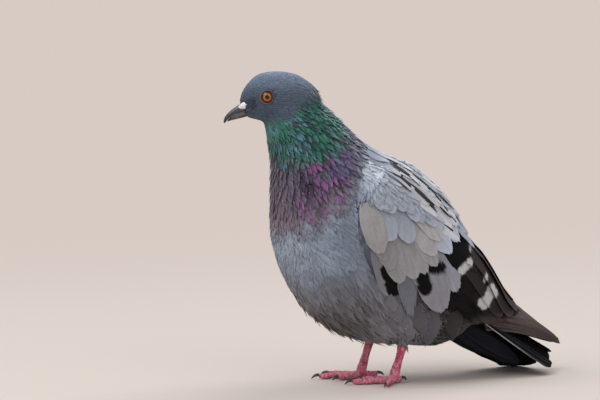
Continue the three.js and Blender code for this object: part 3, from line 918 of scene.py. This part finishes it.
def shoulder_zone(points):
    """True over the smallest coverts, from the front of the wing back to the scapulars."""
    x, y, z = points.T / MM
    low = np.interp(y, (-60, -44, -28, -17, -6, 4), (142, 141, 140, 135, 129, 122))
    back = np.interp(z, (115, 135, 150, 160, 170), (6, -14, -26, -34, -40))
    on_wing = (z > low) & (y > wing_front(z) - 4) & (y < back) & (z < 176) & (np.abs(x) > 10)
    return on_wing | (on_shoulders(points) & (y < -36))


def shoulder_paint(points):
    """Pale blue-grey, darkest beside the neck and palest in the middle of the shoulder."""
    _, y, z = points.T / MM
    height = z + 8 * mottle(points, 15 * MM, 17)
    pale = blend(tone(160, 167, 181), tone(204, 211, 221), ease(height, 142, 163))
    beside_neck = np.maximum(ease(-y + 0.35 * (150 - z), 55, 61), ease(-y + 0.7 * (z - 150), 49, 58))
    return blend(pale, tone(124, 131, 149), beside_neck * 0.9)


coat("shoulder_coverts", all_over(2.2), all_over(13), all_over(4.8), shoulder_zone, 18, soft_plumage,
     "wing_feathers", rows=4, jitter=8, shine=0.04, root_shade=0.9, ground=form, paint=shoulder_paint,
     low=-1.7 * MM, high=lumpy(0.0, 0.3, 12, 0.3),
     comb=lambda roots, way: 0 * way + np.array((0, 0.35, -1)), **SOFT)

# Large loose feathers of the flank and the vent lap over the lower edge of the wing. They are listed as
# the coverts are. The last two hang at the vent, the hindmost of them dark.
LOBES = (
    ((-36, 73), (-24, 53), 14, -1.2, 0.3, tone(112, 112, 118)),
    ((-34, 66), (-18, 45), 16, -1.0, 0.8, tone(106, 106, 113)),
    ((-26, 84), (-10, 47), 15, -1.4, 0.7, tone(113, 117, 128)),
    ((-22, 56), (-6, 33), 14, -0.8, 1.0, tone(112, 112, 119)),
    ((-10, 58), (6, 34), 14, -0.8, 1.0, tone(90, 89, 94)),
    ((7, 55), (15, 25), 18, -0.8, 1.2, tone(92, 92, 101)),
    ((27, 52), (36, 28), 18, -0.8, 1.0, tone(46, 42, 42)),
)
for side, hand in SIDES:
    dice = np.random.default_rng(45 + side)
    shafts, ups, widths, low, high, base = laid_vanes(LOBES, side)
    vanes = vane_grid(shafts, ups, widths, 24, 32, dice, tip=0.36, point=2.2, waist=0.6, end=0.7,
                      fray=0.2, low=low, high=high, cup=0.14)
    colours = shaded(base, vanes[2], 0.05, 0.8)
    feather_piece("flank_lobes_" + hand, vanes, 0.08 * MM, colours, soft_plumage)


# --- Scapulars and mantle -----------------------------------------------------------------------
# Longer pale feathers fall from the shoulders over the roots of the wings and meet along the back.
# They are narrow, and the dark down beneath shows between them as long slits. Dark vanes under
# them and single dark slits are painted shade in these gaps.
def mantle_zone(points):
    """True over the back between the rows of scapulars."""
    x, y, z = points.T / MM
    return on_shoulders(points) & ((z > 158 - 0.95 * (y + 20)) | (np.abs(x) < 14)) & (y > -41) & (y < 24)


def mantle_paint(points):
    """Pale grey, and bluer along the middle of the back and beside the neck."""
    x, y, _ = points.T / MM
    pale = blend(tone(162, 167, 177), tone(192, 195, 202), ease(mottle(points, 18 * MM, 8), -0.4, 0.6))
    return blend(pale, tone(132, 139, 158), np.maximum(ease(-np.abs(x), -18, -6), ease(-y, 20, 36)))


coat("mantle", all_over(7.0), all_over(27), all_over(11.5), mantle_zone, 15, covert_finish, "wing_feathers",
     rows=10, columns=8, jitter=6, shine=0.05, root_shade=0.85, ground=form, paint=mantle_paint,
     low=-1.0 * MM, high=varied(0.1, 0.6), tip=0.32, waist=0.5, fray=0.07, cup=0.08)

# Rows of scapulars from the wing up to the back: the line of their tips, how many, length and width in mm.
SCAPULAR_ROWS = (
    (((-27, 147), (-16, 140), (-5, 130), (6, 121), (15, 114), (23, 106)), 8, 30, 8.6),
    (((-24, 154), (-12, 148), (0, 139), (12, 129), (22, 117)), 8, 30, 8.6),
    (((-18, 160), (-4, 154), (8, 146), (20, 135), (31, 121)), 7, 30, 9.5),
    (((-30, 163), (-16, 165), (0, 160), (14, 151), (28, 138)), 7, 28, 10),
)
SCAPULAR_LEAN, SCAPULAR_FRONT = 40, -42
PALE_SCAPULAR, WHITE_SCAPULAR, DARK_DOWN_AND_SHADE, SLIT_SHADE = (
    tone(168, 170, 178), tone(206, 207, 212), tone(66, 58, 58), tone(58, 50, 50))
# Single slits of painted shade, each by its root and its length in mm.
SLITS = ((-39, 158, 24), (-30, 163, 26), (-17, 145, 22), (-12, 155, 24), (5, 131, 14), (10, 139, 18))
for side, hand in SIDES:
    dice = np.random.default_rng(50 + side)
    rows = []
    for rank, (line, count, length, width) in enumerate(SCAPULAR_ROWS):
        for y, z in spread_along(line, count) + dice.normal(0, 0.9, (count, 2)):
            lean = radians(SCAPULAR_LEAN + dice.normal(0, 3))
            long = min(length * dice.uniform(0.85, 1.15), (y - SCAPULAR_FRONT) / cos(lean))
            root_y, root_z = y - cos(lean) * long, z + sin(lean) * long
            pale = PALE_SCAPULAR + (WHITE_SCAPULAR - PALE_SCAPULAR) * dice.random()
            rows.append(((root_y, root_z), (y, z), width * dice.uniform(0.85, 1.1),
                         -0.6 + 0.3 * rank, 0.6 + 0.35 * rank, pale))
            # Under each but the top row lies a dark vane: dark down, darkened as painted shade in the gaps.
            if rank < len(SCAPULAR_ROWS) - 1:
                rows.append(((root_y + 2, root_z + 3), (y + 1, z + 3), width,
                             -1.0 + 0.3 * rank, -0.1 + 0.35 * rank, DARK_DOWN_AND_SHADE))
    for y, z, long in SLITS:
        rows.append(((y, z), (y + long * 0.76, z - long * 0.68), 1.9, 0.7, 1.3, SLIT_SHADE))
    shafts, ups, widths, low, high, base = laid_vanes(rows, side)
    vanes = vane_grid(shafts, ups, widths, 14, 10, dice, tip=0.34, point=1.8, waist=0.5, end=0.8,
                      fray=0.06, low=low, high=high, cup=0.14)
    tops, _, v, _ = vanes
    colours = shaded(base, v, 0.06, 0.85)
    colours = blend(colours, tone(136, 143, 161), ease(-tops[..., 1] / MM, 24, 40) * 0.9)
    feather_piece("scapulars_" + hand, vanes, 0.25 * MM, colours, covert_finish)


# --- Flight feathers ----------------------------------------------------------------------------
# The tertials and secondaries close over the rump and flank, dark brown with pale fringes and white
# patches. Under them the long primaries reach back over the tail.
flight_finish = vane_finish("flight_plumage", 0.65, 60.0, 0.7, Specular_IOR_Level=0.07)
# The folded inner feathers, each by its root and tip (x out, y back, z up, in mm), width, and lift at the
# root and the tip. They run from the lowest secondary up to the topmost tertial.
FOLDED = (
    ((54, -26, 90), (44, 26, 42), 17, -3.9, -3.4), ((54, -18, 92), (38, 46, 39), 17, -3.8, -3.2),
    ((52, -10, 94), (30, 68, 36), 19, -3.7, -2.8), ((48, 0, 92), (24, 86, 33), 19, -3.6, -2.5),
    ((55, -30, 96), (42, 24, 53), 17, -3.7, -2.9), ((55, -24, 98), (41, 34, 52), 17, -3.6, -2.6),
    ((54, -18, 101), (39, 46, 51), 18, -3.5, -2.2), ((52, -12, 104), (35, 58, 50), 18, -3.4, -1.9),
    ((49, -6, 108), (30, 70, 48), 19, -3.3, -1.5), ((44, 0, 112), (26, 81, 47), 20, -3.1, -1.1),
    ((36, 8, 122), (20, 92, 46), 21, -2.8, -0.7), ((25, 14, 132), (14, 98, 50), 22, -2.3, -0.2),
    ((12, 22, 134), (8, 96, 56), 22, -1.6, 0.3),
)
# The primaries stand in a tilted stack on each side. The longest lies lowest and deepest, and each of the
# others ends a little short of it and a little higher.
PRIMARY_COUNT, PRIMARY_TILT, PRIMARY_WIDTH, PRIMARY_ARCH = 7, radians(38), 13, 5.5
PRIMARY_ROOT, PRIMARY_TIP, ROOT_STEP, TIP_STEP = (16, 62, 47), (7, 138, 21.3), 2.7, 1.25
ENDS_SHORT = np.array((0, 0.006, 0.014, 0.05, 0.11, 0.19, 0.28)).reshape(-1, 1, 1)


def snapped(spots):
    """The nearest spots on the cast form."""
    return np.array([form_tree.find_nearest(Vector(spot))[0] for spot in spots])


def lay_folded(rows, side, steps=12):
    """Shafts and ups of long feathers laid from root to tip over the cast form."""
    mirror = np.array((side, 1, 1)) * MM
    roots = snapped(np.array([row[0] for row in rows]) * mirror)
    reach = np.array([row[1] for row in rows]) * mirror - roots
    return lie_down(roots, reach, np.linalg.norm(reach, axis=1), steps, form_tree, 0.5)


for side, hand in SIDES:
    dice = np.random.default_rng(60 + side)
    shafts, ups = lay_folded(FOLDED, side)
    widths, low, high = measures_of(FOLDED)
    vanes = vane_grid(shafts, ups, widths, 64, 20, dice, tip=0.13, point=3, waist=0.55, end=0.92,
                      fray=0.015, low=low, high=high, rise=1.1, cup=0.1)
    tops, _, v, u = vanes
    browner = ease(np.arange(len(FOLDED)), 7, 12)
    colours = blend(DUSK, tone(66, 58, 58), browner) * dice.normal(1, 0.06, (len(FOLDED), 1))
    lower_end = ease(tops[..., 1] / MM, 40, 56) * ease(-tops[..., 2] / MM, -50, -42)
    fringe = np.maximum(ease(np.abs(u), 0.86, 0.98), ease(v, 0.96, 1))[None] * browner[:, None, None]
    colours = washed(
        shaded(colours, v, 0.0, 0.9),
        (tone(74, 65, 64), lower_end),
        (tone(140, 128, 124), fringe * 0.22),
        (CHALK, inside_marks(tops, WHITES)))
    feather_piece("tertials_" + hand, vanes, 0.35 * MM, colours, flight_finish)

    along = np.linspace(0, 1, 16)[None, :, None]
    rank = np.arange(PRIMARY_COUNT)[:, None, None]
    upward = np.array((-sin(PRIMARY_TILT) * side, 0, cos(PRIMARY_TILT)))
    through = np.array((cos(PRIMARY_TILT) * side, 0, sin(PRIMARY_TILT)))
    mirror = np.array((side, 1, 1))
    uneven = dice.normal(0, 0.5, (PRIMARY_COUNT, 1, 1))
    root = PRIMARY_ROOT * mirror * MM + upward * ((rank - PRIMARY_COUNT // 2) * ROOT_STEP + uneven) * MM
    tip = PRIMARY_TIP * mirror * MM + upward * rank * TIP_STEP * MM
    shafts = root + (tip - root) * along * (1 - ENDS_SHORT)
    shafts = shafts + np.array((0, 0, PRIMARY_ARCH * MM)) * np.sin(pi * along)
    ups = np.broadcast_to(through, shafts.shape)
    rank = rank[:, 0, 0]
    lift = (0.65 * rank - 2.0) * MM
    vanes = vane_grid(shafts, ups, PRIMARY_WIDTH * MM, 22, 8, dice, tip=0.16, point=2.0, waist=0.7,
                      end=0.44, fray=0.0, low=lift, high=lift, cup=0.1)
    _, _, v, u = vanes
    colours = blend(tone(68, 57, 56), tone(98, 86, 84), ease(rank, 1, 6))
    colours = shaded(colours * dice.normal(1, 0.05, (PRIMARY_COUNT, 1)), v, 0, 0.8)
    worn_edge = np.maximum(ease(np.abs(u), 0.9, 1), ease(v, 0.97, 1))[None]
    colours = blend(colours, tone(124, 111, 107), worn_edge * 0.4)
    primary = feather_piece("primary_feathers_" + hand, vanes, 0.4 * MM, colours, flight_finish)
    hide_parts("primaries_" + hand)


# --- Tail ---------------------------------------------------------------------------------------
# Twelve broad feathers fan a little and slope down to the floor, the middle pair on top. They are
# slate, almost black at the end, and the outer web of the outermost is pale. Dark coverts lie beneath.
tail_finish = vane_finish("tail_plumage", 0.8, 60.0, 1.2, Specular_IOR_Level=0.12)
TAIL_COUNT, TAIL_STEPS, TAIL_WIDTH, TAIL_LENGTH = 12, 18, 19, 86
ROOT_BACK, ROOT_HEIGHT, HALF_ROOT = 39.47, 62, 9
TAIL_FALL, TAIL_SPREAD = radians(33.5), radians(19)
RIGHT_SHARE_OF_SPREAD = 0.78
CREST_LONGER, CREST_HIGHER = 0.05, 9
TAIL_CLEARANCE = 0.9


def tail_line(share, along):
    """A point of the tail's middle sheet: share across from -1 to 1, along from 0 at the root to 1.

    The left side, above 0, spreads and droops more than the right, and the middle pair stands up."""
    def by_side(right, left):
        return np.where(share < 0, right, left)

    angle = TAIL_SPREAD * share * by_side(RIGHT_SHARE_OF_SPREAD, 1)
    crest = 1 - ease(np.abs(share), 0.1, 0.3)
    out = TAIL_LENGTH * along * (1 - by_side(0.01, 0.12) * share ** 2 + CREST_LONGER * crest)
    droop = (1.5 + by_side(11, 19) * along) * share ** 2 - by_side(4, 11) * along * share
    height = ROOT_HEIGHT - np.tan(TAIL_FALL) * out * np.cos(angle) - droop
    rest = TAIL_CLEARANCE + (1 - np.abs(share)) * 0.8 * along
    height = rest + 2 * np.log1p(np.exp((height - rest) / 2)) + CREST_HIGHER * crest * along
    across, back = HALF_ROOT * share + out * np.sin(angle), ROOT_BACK + out * np.cos(angle)
    return np.stack((across, back, height), -1) * MM


dice = np.random.default_rng(70)
share = ((np.arange(TAIL_COUNT) + 0.5) / TAIL_COUNT * 2 - 1)[:, None] * np.ones((1, TAIL_STEPS))
along = np.linspace(0.12, 1, TAIL_STEPS)[None] * np.ones((TAIL_COUNT, 1))
shafts = tail_line(share * 0.9, along)
ups = np.cross(tail_line(share * 0.9 + 0.02, along) - shafts, np.gradient(shafts, axis=1))
ups /= np.linalg.norm(ups, axis=-1, keepdims=True)
ups *= np.sign(ups[..., 2:])
share = share[:, 0]
stack = ((1 - np.abs(share)) * 1.1 - 0.3 + 0.1 * np.sign(share)) * MM
vanes = vane_grid(shafts, ups, TAIL_WIDTH * MM, 30, 16, dice, tip=0.08, point=2.6, waist=0.5, broad=0.8,
                  end=0.92, fray=0.005, low=stack, high=stack, cup=0.06)
tops, _, v, u = vanes
tops[..., 2] = np.maximum(tops[..., 2], TAIL_CLEARANCE * MM)
colours = shaded(tone(22, 23, 28) * dice.normal(1, 0.1, (TAIL_COUNT, 1)), v, 0, 0.9)
colours = blend(colours, tone(13, 13, 16), ease(v, 0.62, 0.72)[None])
for outermost in (0, -1):
    pale_web = ease(u * np.sign(share[outermost]), 0.86, 0.95) * (1 - 0.8 * ease(v, 0.5, 0.96))
    colours[outermost] = blend(colours[outermost], tone(170, 167, 166), pale_web)
tail_piece = feather_piece("tail_feathers", vanes, 0.4 * MM, colours, tail_finish)
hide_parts("tail")

# The undertail coverts fill the wedge between the vent and the underside of the tail: an outer ring of
# vanes that wraps almost round it, and a shorter ring beneath.
OUTER_VANES, OUTER_WRAP, INNER_VANES, INNER_WRAP = 13, 150, 6, 75
round_wedge = np.radians(np.concatenate((np.linspace(-OUTER_WRAP, OUTER_WRAP, OUTER_VANES),
                                         np.linspace(-INNER_WRAP, INNER_WRAP, INNER_VANES))))[:, None]
short = np.repeat((0, 1), (OUTER_VANES, INNER_VANES))[:, None]
sideways, under = np.sin(round_wedge), np.cos(round_wedge)
root = np.stack((10 * sideways, 40 - 2 * short, 44 - 11.5 * under), -1) * MM
tip = np.stack(((18 - 4 * short) * sideways, 93 + 6 * under - 20 * short,
                10.1 - 6.5 * under + 9.5 * short), -1) * MM
shafts = root + (tip - root) * np.linspace(0, 1, 10)[None, :, None]
ups = np.broadcast_to(np.stack((sideways, -0.5 * under, -0.87 * under), -1), shafts.shape)
lift = 0.6 * short[:, 0] * MM
vanes = vane_grid(shafts, ups, 14 * MM, 16, 12, dice, tip=0.22, point=2.4, waist=0.8, end=0.85, fray=0.04,
                  low=lift, high=lift, cup=0.1)
colours = shaded(tone(27, 28, 34) * dice.normal(1, 0.1, (len(short), 1)), vanes[2], 0.08, 0.8)
feather_piece("undertail_coverts", vanes, 0.15 * MM, colours, tail_finish)


# --- Eyes ---------------------------------------------------------------------------------------
# A wet, glossy ball with a black pupil, a golden ring and a darker orange ring, set in a bare ring
# of grey-pink lid skin with fine beads.
eye_finish, tree, shader, paint = painted_finish("eye_gloss", 0.2, Coat_Weight=0.25, Coat_Roughness=0.03,
                                                 Specular_IOR_Level=0.25)
tree.links.new(paint, shader.inputs["Base Color"])
lid_finish, tree, shader, paint = painted_finish("lid_skin", 0.6, Specular_IOR_Level=0.35)
tree.links.new(paint, shader.inputs["Base Color"])
bead = add_node(tree, "TexVoronoi", {"Scale": 2600.0})
raise_relief(tree, shader, bead.outputs["Distance"], 0.5, 0.2 * MM)


def turned(name, profile, axis, middle, colour_at, finish, segments=64, closed=True):
    """A form turned about an axis from (radius, height) pairs in mm, painted by colour_at(radius, angle)."""
    side = axis.cross(Vector((0, 0, 1))).normalized()
    top = side.cross(axis)
    profile = np.array(profile, float)
    radius, height = profile[:, None, :1], profile[:, None, 1:]
    angle = np.linspace(0, tau, segments, endpoint=False)
    ring = np.cos(angle)[:, None] * np.array(side) + np.sin(angle)[:, None] * np.array(top)
    points = np.array(middle) + radius * MM * ring[None] + height * MM * np.array(axis)
    shape = (len(profile), segments)
    grid = np.arange(len(profile) * segments).reshape(shape)
    right = np.roll(grid, -1, axis=1)
    quads = np.stack((grid[:-1], grid[1:], right[1:], right[:-1]), -1).reshape(-1, 4).tolist()
    back = [grid[-1].tolist()] if closed else []
    mesh = bpy.data.meshes.new(name)
    mesh.from_pydata(points.reshape(-1, 3).tolist(), [], quads + back)
    mesh.shade_smooth()
    paint_points(mesh, colour_at(np.broadcast_to(profile[:, :1], shape), np.broadcast_to(angle, shape)))
    piece = set_up(name, mesh, finish)
    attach(piece, "root")
    return piece


def iris(radius, angle):
    """A black pupil, then gold with fine rays, orange brown and a dark outer edge."""
    ray = (0.88 + 0.12 * np.sin(angle * 23) * np.sin(angle * 37 + 1))[..., None]
    colour = blend(tone(174, 102, 36) * ray, tone(94, 39, 15) * ray, ease(radius, 2.4, 3.2))
    colour = blend(colour, tone(40, 17, 12), ease(radius, 3.3, 3.9))
    return blend(tone(4, 3, 3), colour, ease(radius, 1.4, 1.7))


def lid(radius, angle):
    """Pinkish below and grey above, darkest against the eye."""
    top = ease(np.sin(angle), -0.2, 0.8)
    return blend(tone(44, 26, 26), washed(
        tone(104, 82, 80),
        (tone(72, 74, 84), top * 0.8),
        (tone(70, 76, 88), ease(radius, 5.0, 5.6))), ease(radius, 4.1, 4.5))


BALL_RADIUS, WINDOW_RADIUS, WINDOW_BULGE = 5.75, 4.3, 0.35
RING_PROFILE = ((3.9, 3.4), (4.05, 4.1), (4.2, 4.42), (4.5, 4.58), (4.85, 4.5), (5.15, 4.25), (5.5, 3.9),
                (5.9, 3.3), (6.1, 2.6), (6.0, 1.6))
for side, middle in eyes.items():
    swing = np.radians(np.concatenate((np.linspace(0, 50, 40), np.linspace(55, 150, 16))))
    radius = BALL_RADIUS * np.sin(swing)
    bulge = WINDOW_BULGE * (1 - np.clip(radius / WINDOW_RADIUS, 0, 1) ** 2) * (swing < 1)
    ball_profile = list(zip(radius + 1e-4, BALL_RADIUS * np.cos(swing) + bulge))
    ball = turned("eyeball_" + side, ball_profile, EYE_AXIS[side], middle, iris, eye_finish)
    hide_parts("eye_" + side)
    ring = turned("eye_ring_" + side, RING_PROFILE, EYE_AXIS[side], middle, lid, lid_finish, closed=False)


# --- Bill and cere ------------------------------------------------------------------------------
# The bill is dark horn with a painted highlight along the ridge, and worn pale at the edges. Two
# powdery white swellings, the cere, sit over the nostrils.
horn_finish, tree, shader, paint = painted_finish("bill_horn", 0.38, Specular_IOR_Level=0.5)
wear = add_node(tree, "TexNoise", {"Scale": 420.0, "Detail": 5.0})
worn = times(tree, paint, ranged(tree, wear.outputs["Fac"], 0.35, 0.7, 0.7, 1.5))
tree.links.new(worn, shader.inputs["Base Color"])
raise_relief(tree, shader, wear.outputs["Fac"], 0.25, 0.2 * MM)
cere_finish, tree, shader, paint = painted_finish("cere_powder", 0.8, Specular_IOR_Level=0.25)
tree.links.new(paint, shader.inputs["Base Color"])
grain = add_node(tree, "TexNoise", {"Scale": 1500.0, "Detail": 4.0})
raise_relief(tree, shader, grain.outputs["Fac"], 0.5, 0.3 * MM)


def cast_piece(name, nodes, grain, rounds, shape, colour_at, finish, whole=True):
    """A finer copy of the named solids, softened, shaped by shape(points, out) and painted by place."""
    points, quads = cast_of(nodes, grain, whole=whole)
    points = smoothed(points, quads, rounds)
    out = outward(points, quads)
    points = points + out * shape(points, out)[:, None]
    points[:, 2] = np.maximum(points[:, 2], 0.1 * MM)
    piece = skin_mesh(name, points, quads, colour_at(points, out), unwrapped(points), finish)
    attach(piece, "root")
    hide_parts(*nodes)
    return piece


def horn(points, out):
    """Dark horn, with a painted highlight along the ridge where it faces up, paler worn patches, darkest at
    the tip.
    """
    return washed(
        tone(62, 62, 68),
        # Painted highlight where the surface faces up, along the ridge.
        (tone(118, 118, 124), ease(out[:, 2], 0.35, 0.85) * 0.6),
        (tone(98, 94, 96), ease(mottle(points, 3 * MM, 21), 0, 0.8) * 0.6),
        (tone(36, 36, 40), ease(-points[:, 1] / MM, 127, 134) * 0.7))


def powder(points, out):
    """Chalk white with faint pinkish patches."""
    return blend(tone(236, 235, 236), tone(200, 192, 190), ease(mottle(points, 1.6 * MM, 22), 0.2, 0.9))


def swollen(points, out):
    """A little fuller than the cast, and uneven."""
    return (0.35 + 0.12 * mottle(points, 1.8 * MM, 23)) * MM


def plain(points, out):
    """The cast as it is."""
    return np.zeros(len(points))


cast_piece("upper_bill", ("bill_upper",), 0.35 * MM, 5, plain, horn, horn_finish)
cast_piece("lower_bill", ("bill_lower",), 0.35 * MM, 4, plain, horn, horn_finish)
for hand in ("left", "right"):
    cast_piece("nose_swelling_" + hand, ("cere_" + hand,), 0.3 * MM, 4, swollen, powder, cere_finish)


# --- Legs, toes and claws -----------------------------------------------------------------------
# Bare raspberry-pink shanks and toes, with overlapping scutes down the front and along the tops of
# the toes and fine beads elsewhere. The claws are blunt dark horn.
leg_finish, tree, shader, paint = painted_finish("leg_scutes", 0.5, Specular_IOR_Level=0.4)
fine_beads = add_node(tree, "TexVoronoi", {"Scale": 1300.0}).outputs["Distance"]
dusted = times(tree, paint, ranged(tree, fine_beads, 0.0, 0.7, 1.14, 0.88))
tree.links.new(dusted, shader.inputs["Base Color"])
raise_relief(tree, shader, fine_beads, 0.6, 0.3 * MM, invert=True)
claw_finish, tree, shader = new_finish("claw_horn", 0.35, Specular_IOR_Level=0.5)
layers = add_node(tree, "TexNoise", {"Scale": 700.0, "Detail": 4.0})
shade = add_node(tree, "ValToRGB", {"Fac": layers.outputs["Fac"]})
for stop, chip in zip(shade.color_ramp.elements, ((30, 30, 33), (74, 70, 70))):
    stop.color = (*tone(*chip), 1)
tree.links.new(shade.outputs["Color"], shader.inputs["Base Color"])
TOES = ("inner", "middle", "outer", "hind")
SHANK_SCUTE, TOE_SCUTE, SCUTE_RELIEF, PAD_PITCH = 2.1, 1.8, 0.36, 8.2
ANKLE_BEHIND = 6 * MM

for hand in ("left", "right"):
    tarsus_low, tarsus_high = (Vector(corner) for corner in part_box("tarsus_" + hand))
    ankle = np.array(((tarsus_low.x + tarsus_high.x) / 2, tarsus_low.y + ANKLE_BEHIND, 0))

    def from_ankle(points):
        """How far each point is from the ankle, seen from above, in mm."""
        return np.hypot(*(points - ankle)[:, :2].T) / MM

    def scute_step(points, out):
        """Where each point is in its scute, from 0 at its upper edge to 1 at its free edge, and how much
        the scute shows there."""
        height = points[:, 2] / MM
        shank = ease(height, 6.5, 9) > 0.5
        run = np.where(shank, -height / SHANK_SCUTE, from_ankle(points) / TOE_SCUTE)
        run = run + 0.3 * mottle(points, 3.5 * MM, 26)
        shows = np.where(shank, ease(-out[:, 1], -0.2, 0.4), ease(out[:, 2], -0.1, 0.4))
        return run % 1, shows * (0.7 + 0.3 * mottle(points, 3 * MM, 27)).clip(0.2, 1)

    def scutes(points, out):
        """Steps at the scutes, swollen pads under the toes and a little unevenness."""
        step, shows = scute_step(points, out)
        reach = from_ankle(points)
        edges = (ease(step, 0, 0.85) * (1 - ease(step, 0.88, 1)) - 0.4) * SCUTE_RELIEF * shows
        on_toe = ease(reach, 5, 8) * ease(-points[:, 2] / MM, -9, -6.5)
        pads = (0.2 * np.sin(reach / PAD_PITCH * tau - 1.2) - 0.25) * on_toe
        return (edges + pads + 0.12 * mottle(points, 2.2 * MM, 25)) * MM

    def pink(points, out):
        """Raspberry pink, redder up the shank, with pale scute edges, dusty patches and painted shade at the
        floor.
        """
        step, shows = scute_step(points, out)
        height = points[:, 2] / MM
        dusty = ease(mottle(points, 3.4 * MM, 29), -0.2, 0.7) * ease(-height, -24, -13)
        return washed(
            tone(216, 88, 118),
            (tone(184, 44, 78), ease(mottle(points, 5 * MM, 24), -0.3, 0.7)),
            (tone(190, 34, 62), ease(height, 20, 30) * 0.5),
            (tone(226, 158, 176), dusty * 0.5),
            (tone(226, 182, 188), ease(step, 0.6, 0.86) * shows * 0.7),
            (tone(236, 196, 200), ease(mottle(points, 1.8 * MM, 28), 0.35, 0.8) * 0.5),
            # Painted shade along the floor, darkest where the toes touch it.
            (tone(96, 40, 50), ease(-height, -1.2, 0) * 0.5))

    def unpainted(points, out):
        """White, as the claws take their colour from their finish alone."""
        return np.ones((len(points), 3))

    cast_piece("leg_" + hand, ("tarsus_" + hand, *(f"toe_{toe}_{hand}" for toe in TOES)), 0.42 * MM, 3,
               scutes, pink, leg_finish)
    cast_piece("claws_" + hand, tuple(f"claw_{toe}_{hand}" for toe in TOES), 0.3 * MM, 3, plain, unpainted,
               claw_finish, whole=False)
